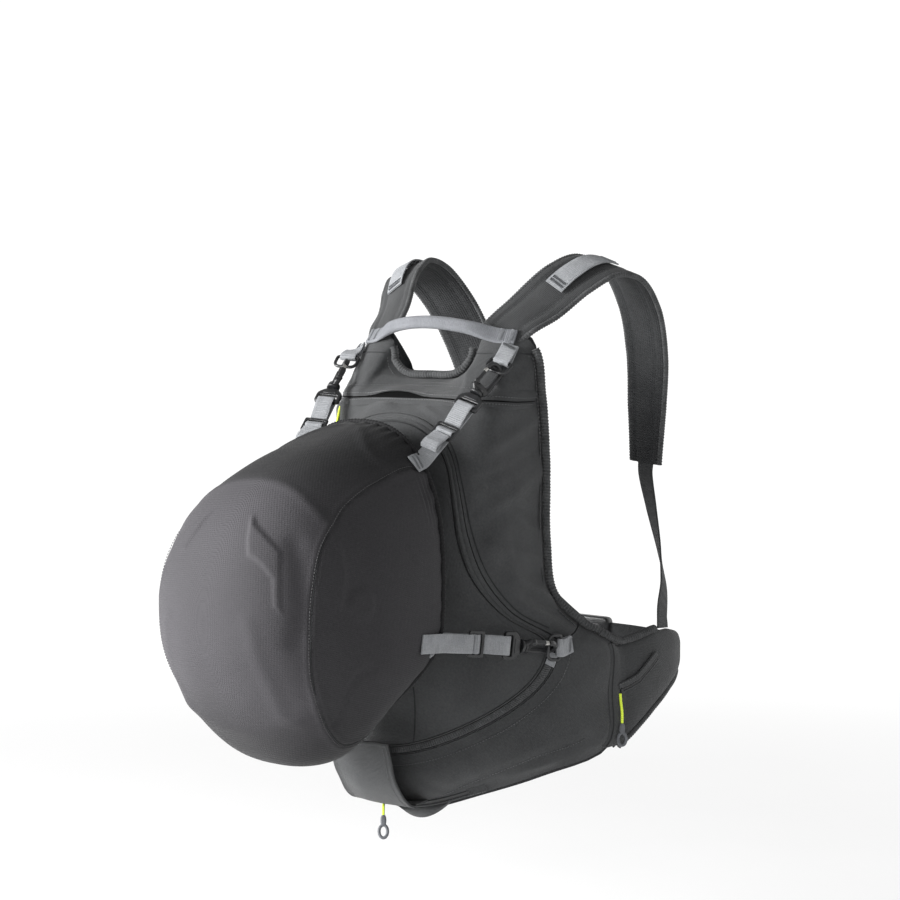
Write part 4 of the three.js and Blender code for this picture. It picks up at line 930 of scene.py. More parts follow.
def makeBindings():
    scoop = bindingPath(np.linspace(*binding["scoop"], 60))
    line = edgeLine(*binding["scoopSeam"])
    out = np.tile(unit([0, -1, 0.4]), (len(line), 1))
    roll = bindingRoll(scoop, (0, -1, 0.2), binding["radius"], binding["scoopRib"])
    makePiece("scoop_roll", [roll, stitches(line + (0, -1, 0.4), out, finish=1)], [edgeTape, sewingThread],
              ["scoop_binding"])
    at = np.linspace(*binding["wing"], 7)
    wingRun = wingPoint(at, 0.4, between(wingRows, "top", at) + binding["radius"] - 2.4)
    side = np.vstack([bindingPath(np.linspace(*binding["side"], 45)), wingRun])
    for hand in hands:
        flip = np.array([hand["sign"], 1, 1])
        makePiece(f"edge_roll_{hand['name']}",
                  [bindingRoll(side * flip, np.array([1, -1, 0.3]) * flip, binding["radius"])], [edgeTape],
                  [f"edge_binding_{hand['name']}"])


makeBindings()

# grab handle: a stuffed roll of webbing, flat where it is sewn

handle = {"middle": [(0, -44, 142), (28, -42, 140.5), (56, -35, 136)], "sewnStations": (3.75, 4.45),
          "sewnDepth": 6, "body": (15, 9), "end": (19, 3.2), "rise": 4.8, "flattening": (0.45, 0.72),
          "rib": 2.1}


def edgeDirection(station):
    long = wallLength(station)
    return unit(clothPoint(station, long) - clothPoint(station, long - 1))


def makeHandle():
    sewn = [onEdge(s, handle["sewnDepth"], handle["rise"]) for s in handle["sewnStations"]]
    right = np.array(handle["middle"] + [tuple(p) for p in sewn], float)
    path = smoothPath(np.vstack([mirrored(right[1:][::-1]), right]), 420)
    reach = np.abs(np.linspace(-1, 1, len(path)))
    flat = smoothStep(reach, *handle["flattening"])
    end = edgeDirection(handle["sewnStations"][1])
    ends = np.where(np.linspace(-1, 1, len(path))[:, None] < 0, mirrored(end), end)
    sides = np.array([0, 0.35, 1]) * (1 - flat)[:, None] + ends * flat[:, None]
    width = handle["body"][0] + (handle["end"][0] - handle["body"][0]) * flat
    thick = handle["body"][1] + (handle["end"][1] - handle["body"][1]) * flat
    parts = [ribbedBand(path, sides, width, thick, handle["rib"], 0.22)]
    for hand in hands:
        flip = np.array([hand["sign"], 1, 1])
        for station in (3.9, 4.32):
            up = clothNormal(station, wallLength(station) - handle["sewnDepth"])
            spot = onEdge(station, handle["sewnDepth"], handle["rise"] + 2.1)
            across = edgeDirection(station)
            along = unit(np.cross(up, across))
            parts.append(barTack((spot - across * 7.5) * flip, (spot + across * 7.5) * flip, along * flip,
                                 up * flip, 4.2, 9))
    makePiece("handle", parts, [shadedHandleWebbing, greyThread], ["grab_handle"])


makeHandle()
print("bindings and handle made")

# stretch cover: knit drawn tight, open towards the pack

coverRows = [
    {"depth": -148, "halfWidth": 114, "top": 37, "bottom": -284, "lean": 1},
    {"depth": -172, "halfWidth": 122, "top": 33, "bottom": -291, "lean": 0.72},
    {"depth": -205, "halfWidth": 127, "top": 22, "bottom": -304, "lean": 0.42},
    {"depth": -245, "halfWidth": 128, "top": 9, "bottom": -311, "lean": 0.12},
    {"depth": -285, "halfWidth": 122, "top": -8, "bottom": -304, "lean": 0},
    {"depth": -318, "halfWidth": 113, "top": -28, "bottom": -276, "lean": 0},
    {"depth": -344, "halfWidth": 98, "top": -56, "bottom": -243, "lean": 0},
    {"depth": -362, "halfWidth": 75, "top": -88, "bottom": -214, "lean": 0},
    {"depth": -373, "halfWidth": 43, "top": -121, "bottom": -188, "lean": 0},
    {"depth": -377, "halfWidth": 0, "top": -155, "bottom": -155, "lean": 0},
]
coverTable = np.array([[row[k] for k in ("depth", "halfWidth", "top", "bottom", "lean")]
                       for row in coverRows], float)
coverSmooth = np.vstack([coverTable, [-373, -43, -188, -121, 0]])  # carried over the crown
coverCentre = np.array([0, -230, -140.0])


def coverPoint(row, degrees, smooth=True):
    row, degrees = np.broadcast_arrays(np.asarray(row, float), np.asarray(degrees, float))
    if smooth:
        columns = runThrough(coverSmooth, row.ravel())
    else:
        columns = np.stack([np.interp(row.ravel(), np.arange(10), coverTable[:, k]) for k in range(5)], 1)
    depth, halfWidth, top, bottom, lean = columns.T
    turn = np.radians(degrees.ravel())
    bent = lambda v: np.sign(v) * np.abs(v) ** (2 / 2.4)
    z = bottom + (top - bottom) / 2 * (1 + bent(np.sin(turn)))
    y = depth - lean * 66 * smoothStep(-z, 180, 285)
    return np.stack([halfWidth * bent(np.cos(turn)), y, z], 1).reshape(row.shape + (3,))


def coverLine(table, step=1.5):
    table = np.array(table, float)
    at = runThrough(np.column_stack([table, 0 * table[:, 0]]),
                    np.linspace(0, len(table) - 1, 30 * len(table)))
    return evenPath(coverPoint(at[:, 0], at[:, 1]), step)


coverSeam = [(0, 41), (1.9, 48), (2.7, 48), (3.45, 46), (4.15, 40), (4.8, 32), (5.35, 16), (5.55, -4),
             (5.3, -24), (4.65, -38),
             (4.2, -44), (3.35, -50), (2.55, -47), (2.0, -46), (1.0, -47), (0, -48)]
coverVent = [(5.6, 78), (5.85, 71), (5.95, 44), (6.35, 26), (6.5, 6), (6.75, 12), (6.55, 32), (6.6, 48),
             (6.65, 62), (6.3, 70)]
coverRelief = [  # raised edges under the right half, as row and turn
    {"line": [(4.3, 96), (4.35, 80), (4.45, 56), (4.3, 41)], "width": 6, "height": 1.0},
    {"line": [(7.6, 3), (7.1, -31), (6.3, -46), (5.55, -55), (5.1, -50)], "width": 9, "height": 1.2},
    {"line": [(5.5, 41), (5.62, 30), (5.75, 18), (5.8, 5), (6.0, -6)], "width": 11, "height": -3.2},
    {"line": [(4.3, 32), (4.35, 18), (4.55, 8)], "width": 4, "height": 1.8},
    {"line": [(4.25, -38), (3.85, -14), (3.4, -12)], "width": 4, "height": -1.4},
    {"line": [(0.2, 98), (1.0, 84), (1.9, 66), (1.85, 49)], "width": 6, "height": 1.5},
    {"line": [(4.9, -30), (5.3, -60), (5.4, -90)], "width": 12, "height": 1.4},
]
# for each turn, the row past which the knit is drawn tight and pales; it also bounds the painted light on the
# cover's lit front
stretchedAndLitFrom = [(-90, 3.5), (-50, 3.6), (-38, 4.7), (-24, 5.3), (-4, 5.55), (16, 5.35), (32, 4.8),
                 (41, 4.4), (56, 4.45), (90, 4.3)]
coverDiscs = [{"at": (3.85, 6), "radius": 15, "height": 2.2}]


def insideDepth(points, corners):  # distance inside a flat outline, below zero outside it
    centre = corners.mean(0)
    plane = np.linalg.svd(corners - centre)[2][:2]
    spots, loop = (points.reshape(-1, 3) - centre) @ plane.T, (corners - centre) @ plane.T
    away, within = np.full(len(spots), np.inf), np.zeros(len(spots), bool)
    for a, b in zip(loop, np.roll(loop, -1, 0)):
        run = np.clip((spots - a) @ (b - a) / np.dot(b - a, b - a), 0, 1)
        away = np.minimum(away, np.linalg.norm(spots - a - run[:, None] * (b - a), axis=1))
        crosses = (a[1] > spots[:, 1]) != (b[1] > spots[:, 1])
        within ^= crosses & (spots[:, 0] < a[0] + (spots[:, 1] - a[1])
                             * (b[0] - a[0]) / (b[1] - a[1] + 1e-12))
    near = np.linalg.norm(points.reshape(-1, 3) - centre, axis=1) < 110
    return np.where(near, np.where(within, away, -away), -99.0).reshape(points.shape[:-1])


def makeCover():
    row = np.concatenate([np.linspace(0, 1, 26)[:-1], np.linspace(1, 9, 138)])[:, None]
    turn = np.linspace(-90, 270, 260, endpoint=False)[None, :]  # the knit's own seam lies underneath
    base = coverPoint(row, turn)
    normal = gridNormals(base, True)
    normal *= np.sign(np.sum(normal * (base - coverCentre), -1, keepdims=True))
    normal[-1] = (0, -1, 0)
    lift = ripple(base, 90, 1.2, 6.0)
    half = base * np.where(base[..., :1] < 0, (-1, 1, 1), (1, 1, 1))  # both halves alike
    vent = coverPoint(*np.array(coverVent).T)
    # slacker on the far side
    slope = np.where(base[..., 0] < 0, 0.45, 1) * (2.5 - 0.05 * (half[..., 0] - vent[:, 0].mean()))
    lift += slope * smoothStep(insideDepth(half, vent), -1.8, 3.0)
    for stroke in coverRelief:
        lift += stroke["height"] * np.exp(-((nearLine(half,
                                                      coverLine(stroke["line"])) / stroke["width"]) ** 2))
    for disc in coverDiscs:
        away = np.linalg.norm(half - coverPoint(*disc["at"]), axis=-1)
        lift += disc["height"] * smoothStep(away, disc["radius"] + 3, disc["radius"] - 3)
    upper = 0.35 + 0.65 * smoothStep(np.sin(np.radians(turn)), 0.2, 0.9)
    gathers = np.cos(np.radians(turn) * 48 + 2.4 * np.sin(np.radians(turn) * 5)) * np.exp(-row / 0.55)
    lift += 1.3 * upper * gathers
    aslant = np.degrees(np.arcsin(np.sin(np.radians(turn))))  # the same on both halves
    puckers = np.cos(2 * np.pi * base[..., 1] / 7.5)
    lift += 0.8 * puckers * np.exp(-(((aslant - 30) / 8) ** 2)) * smoothStep(row, 1.5, 0.7)
    seam = coverLine(coverSeam)
    away = nearLine(half, seam)
    lift += -1.0 * np.exp(-((away / 1.6) ** 2)) + 0.8 * np.exp(-(((away - 4.5) / 2.4) ** 2))
    outer = base + normal * lift[..., None]
    inner = base + normal * (np.minimum(lift, 2) - 2)[..., None]
    # stretch pales the knit where it is drawn tight, and it also paints light and shade: paler on the lit
    # front, the top left dark as painted shade, and darker low down as painted shade
    tight = smoothStep(row - np.interp(aslant, *np.array(stretchedAndLitFrom).T), -0.12, 0.25)
    above = np.array([point for point in coverSeam if point[1] > 38])
    # the side panel, under its seam, and everything below the top take a little paleness, so the top stays
    # dark as painted shade
    side = smoothStep(np.interp(row, above[:, 0], above[:, 1]) - aslant, -1.5, 1.5)
    tautAndLit = 0.15 + 0.85 * smoothStep(base[..., 2], -302, -205)  # slacker low down, and darker there as painted shade
    side = np.maximum(np.maximum(side, tight), smoothStep(base[..., 2], 10, -38))
    stretch = np.clip(tautAndLit * (0.16 * side + tight * (0.26 + 0.16 * ripple(base, 120, 1.0, 2.0))), 0, 1)
    run = np.hypot(outer[..., 0], 15) + outer[..., 1]
    knit = np.stack([run, outer[..., 2] + 0.3 * outer[..., 1]], -1)  # courses lie level round the cover
    piece = makePiece("cover", [wall(outer, inner, True, flat=knit)], [coverKnit],
                      ["helmet_cover"],
                      marks={"stretch": np.concatenate([stretch.ravel(), 0 * stretch.ravel()])})
    hemLine = coverPoint(np.zeros(240), np.linspace(0, 360, 240, endpoint=False)) + (0, 1.0, 0)
    hem = bindingRoll(np.vstack([hemLine, hemLine[:1]]), (0, 1, 0.01), 3.0, 4.2, 0.11)
    hemPiece = makePiece("cover_hem", [hem], [coverKnit])
    # the dark strips along the cover's seams are painted shadow, with black stitching beside them
    seamThreadsAndShadow = []
    for line in (seam, mirrored(seam)):
        normals = unit(line - coverCentre)
        seamThreadsAndShadow.append(seamShadow(line - normals * 0.25, normals, 1.3, 1))
        seamThreadsAndShadow.append(stitches(line + normals * 1.0 + (0, -2.6, 0.6), normals, 3.2, 2.2, 0.4))
    seamPiece = makePiece("cover_stitching_and_seam_shadow", seamThreadsAndShadow, [blackThread, zipTapeAndSeamShadow])
    span = np.linalg.norm(np.cross(outer[1:] - outer[:-1], np.roll(outer, -1, 1)[:-1] - outer[:-1]),
                          axis=-1).sum() * mm * mm
    print("cover area", round(float(span), 4))


flap = {"half": 1, "sewnDepth": 7, "curve": [(-118, -373), (-143, -346), (-152, -318), (-158, -300)],
        "curl": 5}


def makeFlap():
    across = np.linspace(-1, 1, 60)
    sewn = onEdge(bottomStation + flap["half"] * across, np.full(60, flap["sewnDepth"]),
                  np.full(60, cloth["thick"] + cloth["gap"]))
    columns = []
    for start, side in zip(sewn, across):
        curve = [start] + [(start[0], y + flap["curl"] * side**2, z) for y, z in flap["curve"]]
        columns.append(smoothPath(np.array(curve), 70))
    grid = np.swapaxes(np.array(columns), 0, 1)
    up = np.linspace(0, 1, 70)[:, None]
    normal = gridNormals(grid)
    normal *= np.sign(np.sum(normal * (0, -1, 0.2), -1, keepdims=True))
    free = smoothStep(up, 0.05, 0.5)
    wave = free * (1.6 * np.sin(across * 4.2 + 0.8)[None] * up + ripple(grid, 26, 1.6, 9.0))
    rim = np.minimum(1 - np.abs(across)[None], (1 - up) * 1.6)
    hem = 0.9 * np.exp(-(((rim - 0.045) / 0.03) ** 2))
    grid = grid + normal * (wave + 1.0)[..., None]
    outer = grid + normal * (1.0 + hem)[..., None]
    inner = grid - normal * (0.8 + 0.4 * hem)[..., None]
    line = np.vstack([outer[6:-4, 5], outer[-5, 5:-5], outer[6:-4, -6][::-1]])
    lineNormal = np.vstack([normal[6:-4, 5], normal[-5, 5:-5], normal[6:-4, -6][::-1]])
    parts = [wall(outer, inner), stitches(line + lineNormal * 0.2, lineNormal, 3.0, 2.0, 0.4, finish=1)]
    piece = makePiece("flap", parts, [packCloth, sewingThread], ["lower_flap"])


makeCover()
makeFlap()
print("cover and flap made")

# padded pieces: sewn along their edges and quilting lines, and swollen between them by a cloth simulation

swelling = []


def padPiece(name, rings, pinned, finishes, replaced, force=4.0, most=4.0, lined=None):
    mark = np.asarray(pinned, float).ravel()
    part = tube(rings)
    if lined is not None:  # strips of the ring on the inner face
        part["finish"] = lined * (len(rings) - 1) + [0, 0]
    piece = makePiece(name, [part], finishes, [replaced], marks={"sewn": mark}, sharp=80)
    group = piece.vertex_groups.new(name="sewn")
    weights = np.zeros(len(piece.data.vertices))
    piece.data.attributes["sewn"].data.foreach_get("value", weights)
    for index, weight in enumerate(weights):
        group.add([index], float(weight), "REPLACE")
    sim = piece.modifiers.new("swell", "CLOTH")
    sim.settings.quality, sim.settings.mass, sim.settings.air_damping = 6, 0.25, 4
    sim.settings.tension_stiffness = sim.settings.compression_stiffness = 18
    sim.settings.shear_stiffness, sim.settings.bending_stiffness = 8, 0.6
    sim.settings.vertex_group_mass, sim.settings.pin_stiffness = "sewn", 8
    sim.settings.use_pressure, sim.settings.uniform_pressure_force = True, force
    sim.settings.effector_weights.gravity = 0
    sim.point_cache.frame_start, sim.point_cache.frame_end = 1, 20
    swelling.append({"piece": piece, "most": most * mm})
    return piece


def runSwelling():
    scene = bpy.context.scene
    for step in range(1, 21):
        scene.frame_set(step)
    ready = bpy.context.evaluated_depsgraph_get()
    for job in swelling:
        mesh = job["piece"].data
        count = len(mesh.vertices)
        rest, moved = np.zeros(3 * count), np.zeros(3 * count)
        mesh.vertices.foreach_get("co", rest)
        job["piece"].evaluated_get(ready).data.vertices.foreach_get("co", moved)
        step = (moved - rest).reshape(-1, 3)
        long = np.linalg.norm(step, axis=1, keepdims=True)
        step *= np.minimum(1, job["most"] / np.maximum(long, 1e-9))
        job["result"] = rest + step.ravel()
        print("swollen", job["piece"].name, "by up to", round(1000 * float(np.abs(step).max()), 2), "mm")
    for job in swelling:
        job["piece"].modifiers.clear()
        job["piece"].data.vertices.foreach_set("co", job["result"])
        job["piece"].data.update()
    scene.frame_set(1)


# shoulder straps, from the yoke up and over, then down in front
strapRows = [  # the first row is the root under the yoke's bound edge
    {"at": (84, -14, 129), "side": (0.94, 0.33, -0.05), "width": 48},
    {"at": (91, -1, 141.2), "side": (0.94, 0.33, -0.05), "width": 52},
    {"at": (103, 24, 160), "side": (0.93, 0.3, -0.2), "width": 56},
    {"at": (121, 58, 189), "side": (0.93, 0.15, -0.33), "width": 60},
    {"at": (134, 90, 203), "side": (0.94, 0, -0.33), "width": 62},
    {"at": (140, 128, 196), "side": (0.96, -0.1, -0.25), "width": 62},
    {"at": (137, 168, 160), "side": (0.97, -0.2, -0.1), "width": 62},
    {"at": (128, 197, 105), "side": (0.97, -0.22, 0), "width": 60},
    {"at": (118, 212, 45), "side": (0.97, -0.22, 0.05), "width": 56},
    {"at": (114, 216, -20), "side": (0.97, -0.22, 0.05), "width": 46},
]
strap = {"thick": 8.6, "edge": 3.0, "quilt": 0.56, "last": len(strapRows) - 1}
shoulderLoop = {"from": 2.55, "to": 4.5, "width": 25, "rise": 3, "thick": 1.6}


def strapFrame(at):  # middle line, side, face and width of the right shoulder strap
    at = np.clip(np.atleast_1d(np.asarray(at, float)), 0, strap["last"])
    line = np.array([row["at"] for row in strapRows], float)
    middle = runThrough(line, at)
    along = unit(runThrough(line, np.minimum(at + 0.02, strap["last"])) - runThrough(line,
            np.maximum(at - 0.02, 0)))
    side = runThrough([row["side"] for row in strapRows], at)
    side = unit(side - along * np.sum(side * along, 1, keepdims=True))
    return middle, side, np.cross(along, side), between(strapRows, "width", at)


def makeStraps():
    at = np.linspace(0, strap["last"], 150)
    middle, side, face, width = strapFrame(at)
    around = np.linspace(0, 2 * np.pi, 48, endpoint=False)
    across = np.sign(np.cos(around)) * np.abs(np.cos(around)) ** 0.75
    thick = np.sign(np.sin(around)) * np.abs(np.sin(around)) ** 0.55
    groove = 1 - 0.45 * np.exp(-(((np.abs(across) - strap["quilt"]) / 0.09) ** 2))
    rings = (middle[:, None] + side[:, None] * (across[None] * width[:, None] / 2)[..., None]
             + face[:, None] * (thick * groove * strap["thick"] / 2)[None, :, None])
    pinned = np.where((np.abs(across) > 0.94) | (np.abs(np.abs(across) - strap["quilt"]) < 0.05), 1.0,
                      0.0)[None] + 0 * at[:, None]
    pinned[:3], pinned[-3:] = 1, 1
    edges = [middle + side * (sign * width / 2)[:, None] for sign in (1, -1)]
    quilting = [middle + side * (sign * strap["quilt"] * width / 2)[:,
            None] - face * (strap["thick"] * 0.29) for sign in (1, -1)]
    for hand in hands:
        flip = np.array([hand["sign"], 1, 1])
        tag = hand["name"]
        padPiece(f"shoulder_pad_{tag}", rings * flip, pinned, [strapCloth, spacerMesh],
                 f"shoulder_strap_{tag}", 5, 2.2,
                 [int(0 < t < np.pi) for t in around + np.pi / 48])
        rolls = [bindingRoll(edge * flip, face.mean(0) * flip, strap["edge"], 3.4, 0.13) for edge in edges]
        sewing = [stitches(line * flip, -face * flip, finish=1) for line in quilting]
        makePiece(f"shoulder_edges_{tag}", rolls + sewing, [edgeTape, sewingThread])

        run = np.linspace(shoulderLoop["from"], shoulderLoop["to"], 130)
        line, aside, out, _ = strapFrame(run)
        rise = 6.6 + shoulderLoop["rise"] * np.sin(np.pi * np.linspace(0, 1, 130))
        line = line - out * rise[:, None]
        parts = [ribbedBand(line * flip, aside * flip, shoulderLoop["width"], shoulderLoop["thick"])]
        for spot in (6, 12, -7, -13):
            up = -out[spot]
            middleSpot = line[spot] + up * 1.2
            along = unit(np.cross(up, aside[spot]))
            parts.append(barTack((middleSpot - aside[spot] * 10) * flip,
                                 (middleSpot + aside[spot] * 10) * flip, along * flip,
                                 up * flip, 3.2, 11))
        makePiece(f"shoulder_loop_{tag}", parts, [greyWebbing, greyThread], [f"strap_loop_{tag}"])


# waist wings with a slanting pocket, the belt and its buckle
wing = {"section": [(0, 0.05), (0, 0.5), (0, 0.95), (0.35, 1), (0.8, 0.9), (1, 0.7), (1, 0.3), (0.8, 0.1),
                    (0.35, 0)],
        "zip": [(0.06, -259), (0.55, -255), (1.0, -250), (1.4, -240), (1.86, -228)],
        "seamStations": (11.02, 13.1)}
belt = {"width": 30, "height": -234, "bend": [(116, 249), (74, 260)], "thick": 2}
buckle = {"width": 64, "height": 42, "depth": 12, "corner": 8, "y": 263}
lowerWebbing = {"width": 25, "lead": 12, "wingRow": 2.62, "thick": 2,
                "bend": [(122, 216, -70), (142, 204, -118), (164, 181, -156), (177, 158.5, -184)]}


def makeWings():
    at = np.linspace(0, 5, 90)
    section = np.array(wing["section"], float)
    ring = runThrough(np.column_stack([section, 0 * section[:, 0]]),
                      np.linspace(0, len(section), 52, endpoint=False), True)
    share, rise = np.clip(ring[:, 0], 0, 1), np.clip(ring[:, 1], 0, 1)
    rings = wingPoint(at[:, None], 0.06 + 0.88 * share[None],
                      wingRise(at[:, None], 0.02 + 0.96 * rise[None])).reshape(90, 52, 3)
    line = np.array(wing["zip"], float)
    zipAt = np.linspace(line[0, 0], line[-1, 0], 60)
    zipPath = wingPoint(zipAt, 1.0, np.interp(zipAt, line[:, 0], line[:, 1]))
    pinned = np.where((rise > 0.95) | (rise < 0.05), 1.0, 0.0)[None] + 0 * at[:, None]
    pinned[:2], pinned[-2:] = 1, 1
    pinned = np.maximum(pinned, nearLine(rings, zipPath) < 4)
    quilt = wingPoint(at[4:-4], 0.5, wingRise(at[4:-4], 0.0) - 0.3)
    last = len(wingRows) - 1
    ends = unit(wingPoint(last, 0.5, 0)[0] - wingPoint(last - 0.5, 0.5, 0)[0])
    start = wingPoint(last, 0.5, belt["height"])[0] + ends * 0.8
    beltPath = evenPath(np.array([start] + [(x, y, belt["height"]) for x, y in belt["bend"]]
                                 + [(buckle["width"] / 2 + 0.4, buckle["y"], belt["height"])]), 0.7)
    tangent = unit(np.array(strapRows[-1]["at"], float) - runThrough([row["at"] for row in strapRows],
            strap["last"] - 0.02)[0])
    foot = np.array(strapRows[-1]["at"], float)
    top = wingPoint(lowerWebbing["wingRow"], 0.4, between(wingRows, "top", lowerWebbing["wingRow"]) + 0.8)[0]
    webPath = evenPath(np.vstack([[foot + tangent * 0.4, foot + tangent * lowerWebbing["lead"]],
                                  lowerWebbing["bend"], [top]]), 0.7)
    across = wingAcross([lowerWebbing["wingRow"]])[0]
    endSide = -np.array([-across[1], across[0], 0])
    share = np.linspace(0, 1, len(webPath))[:, None]
    webSides = np.array(strapRows[-1]["side"]) * (1 - share) + endSide * share
    seamAt = np.linspace(*wing["seamStations"], 70)
    seamLine = onEdge(seamAt, np.full(70, 2.5), np.full(70, cloth["thick"] + 1.6))
    height = np.clip(seamLine[:, 2], wingRows[0]["bottom"] + 3, wingRows[0]["top"] - 4)
    outer = np.interp((height - wingRows[0]["bottom"]) / (wingRows[0]["top"] - wingRows[0]["bottom"]),
                      [0, 0.1, 0.3, 0.7, 0.9, 1],
                      [0.35, 0.8, 1, 1, 0.8, 0.35])
    joins = np.array([onEdge(seamAt, np.full(70, 7.0), np.full(70, cloth["thick"] + 0.4)), seamLine,
                      (seamLine + wingPoint(0.1, outer, height)) / 2 + (0.8, 0, 0),
                      wingPoint(0.14, 1.02 * outer, height), wingPoint(0.4, 0.96 * outer, height)])
    joins = np.stack([smoothPath(column, 16) for column in np.swapaxes(joins, 0, 1)], 1)
    for hand in hands:
        flip = np.array([hand["sign"], 1, 1])
        tag = hand["name"]
        side = wall((joins + (0.8, 0, 0)) * flip, (joins - (0.8, 0, 0)) * flip)
        # the dark strip along the wing's seam is painted shadow
        seam = joins[4] + (1.1, -0.4, 0)
        makePiece(f"wing_seam_{tag}", [side, seamShadow(seam * flip, np.tile(flip * (0.9, -0.4, 0), (70, 1)),
                                                    1.3, 1)],
                  [packCloth, zipTapeAndSeamShadow])
        padPiece(f"wing_pad_{tag}", rings * flip, pinned, [strapCloth], f"waist_wing_{tag}",
                 5, 3.0)
        outward = wingAcross(zipAt) * flip
        lip = zipPath * flip + outward * 0.9
        upward = unit(np.array([0.0, -0.4, 0.9]))
        tape = ribbedBand(evenPath(lip, 0.55), upward, 3.4, 2.4, 2.2, 0.3)
        welt = tube(sweep(lip + upward * 5.0 + outward * 0.2, upward, roundBand(7, 3.0)), finish=1)
        lower = tube(sweep(lip - upward * 2.8, upward, roundBand(2.2, 2.4)), finish=1)
        slider = tube(sweep((lip + outward * 1.6)[:4], upward, roundBand(5.2, 2.6)))
        spots = lip + upward * 7.2 + outward * 1.6
        makePiece(f"wing_zip_{tag}", [tape, welt, lower, slider, stitches(spots, outward, finish=2)],
                  [nylonCoil, packCloth, sewingThread])
        makePiece(f"wing_edge_{tag}", [bindingRoll(quilt * flip, (0, 0, 1), 3.0, 3.2, 0.1)], [edgeTape])
        makePiece(f"belt_{tag}", [ribbedBand(beltPath * flip, (0, 0, 1), belt["width"], belt["thick"])],
                  [strapCloth],
                  [f"waist_belt_{tag}"])
        makePiece(f"lower_webbing_{tag}", [ribbedBand(webPath * flip, webSides * flip,
                                                      lowerWebbing["width"], lowerWebbing["thick"])],
                  [strapCloth], [f"strap_webbing_{tag}"])


# padded back panel, in sewn channels
back = {"rim": 5, "columns": 170, "rows": 48, "channels": (0.36, 0.72)}


def makeBack():
    at = np.linspace(0, laps, back["columns"], endpoint=False)
    edge = runThrough(edgeLoop, at, True)
    along = edgeDirection(at)
    share = np.linspace(0, 1, back["rows"])[:, None]

    def face(offset, middleY):
        rim = edge + along * offset
        grid = np.array([0, middleY, 0.0]) + (rim[None] - (0, middleY, 0)) * share[..., None]
        grid[..., 1] = middleY + (rim[None, :, 1] - middleY) * share ** cloth["backDome"]
        return grid

    inner, outer = face(cloth["gap"], -cloth["pad"]), face(cloth["gap"] + back["rim"], -1.2)
    gap = np.abs(share - np.array(back["channels"])[None]).min(1)[:, None]
    sewn = np.minimum(gap * 150, np.abs(outer[..., 0]) * np.where(share < 0.72, 1, 9))
    outer[..., 1] -= 3.2 * np.exp(-((sewn / 4) ** 2)) * (share < 0.97)
    mark = np.concatenate([np.where((sewn < 3) | (share > 0.94), 1.0, 0.0).ravel(), np.ones(inner.size // 3)])
    part = wall(outer, inner, True)
    piece = makePiece("back_pad", [part], [spacerMesh], ["back_panel"], marks={"sewn": mark},
                      sharp=80)


makeStraps()
makeWings()
makeBack()
runSwelling()
print("padding made")

# cover holder: four clips, each with its own frame at the ring's bow

holders = [
    {"level": "upper", "ring": (104, -51, 90), "hemTurn": 46, "lift": 1.85, "face": (0.3, -0.7, 0.65),
     "seat": {"station": 4.4, "edgeDepth": 17, "height": 4.6},
     "left": {"ring": (110, -54, 92), "lift": 3.4, "face": (-0.3, -0.8, 0.5),
              "seat": {"station": 4.75, "edgeDepth": 17, "height": 5}}},
    {"level": "lower", "ring": (153.2, -20, -203), "hemTurn": -19, "lift": 0.6, "face": (1, -0.3, 0),
     "seat": {"station": 10.3, "edgeDepth": 35, "height": 4.4}},
]
webbing = {"clip": 20, "tab": 19, "thick": 1.6, "hemRow": 0.4, "sewnRows": (0, 0.4, 0.75)}
ring = {"half": 13, "height": 15, "flat": 6.5, "wire": 1.8, "corner": 2.5}
hook = {"eye": -1.1, "radius": 6, "bar": 4.4, "nose": -3.4, "pivotAcross": 8.2, "pivotDown": -23,
        "knuckle": 3, "shoulder": -29, "neckHalf": 5.5, "neckEnd": -36, "thick": 6, "turn": 52}
clipBase = {"top": -36.4, "shoulder": -43, "bottom": -57, "neckHalf": 6.5, "half": 15, "slotHalf": 11,
            "slotTop": -47, "slotEnd": -52.5, "thick": 5}
glide = {"top": -82, "bottom": -101, "half": 14, "slotHalf": 10.8, "bar": 3.4, "middle": 3, "thick": 3,
         "corner": 2.5}


def plate(outline, holes, thick, bevel, finish=0):  # a flat moulding with rounded edges, across and up
    curve = bpy.data.curves.new("outline", "CURVE")
    curve.dimensions, curve.fill_mode, curve.bevel_resolution = "2D", "BOTH", 2
    curve.extrude, curve.bevel_depth, curve.offset = (thick / 2 - bevel) * mm, bevel * mm, -bevel * mm
    for loop in [outline, *holes]:
        line = curve.splines.new("POLY")
        line.points.add(len(loop) - 1)
        for spot, (x, y) in zip(line.points, loop):
            spot.co = (x * mm, y * mm, 0, 1)
        line.use_cyclic_u = True
    shape = bpy.data.objects.new("outline", curve)
    mesh = shape.to_mesh()
    points = np.array([tuple(v.co) for v in mesh.vertices]) / mm
    faces = [list(face.vertices) for face in mesh.polygons]
    shape.to_mesh_clear()
    bpy.data.objects.remove(shape)
    bpy.data.curves.remove(curve)
    return {"points": points[:, [0, 2, 1]] * (1, -1, 1), "faces": faces, "finish": finish,
            "flat": points[:, :2]}


def filleted(corners, radius, count=5):  # the outline with its corners rounded
    corners = np.asarray(corners, float)
    made = []
    for before, here, after in zip(np.roll(corners, 1, 0), corners, np.roll(corners, -1, 0)):
        reach = min(radius, 0.45 * np.linalg.norm(before - here), 0.45 * np.linalg.norm(after - here))
        a, b = here + unit(before - here) * reach, here + unit(after - here) * reach
        for t in np.linspace(0, 1, count):
            made.append(a * (1 - t) ** 2 + 2 * here * t * (1 - t) + b * t**2)
    return np.array(made)


def arc(centre, radius, first, last, count=16):
    turn = np.radians(np.linspace(first, last, count))
    return np.stack([centre[0] + radius * np.cos(turn), centre[1] + radius * np.sin(turn)], 1)


def box(half, low, high):
    return np.array([(-half, low), (-half, high), (half, high), (half, low)])


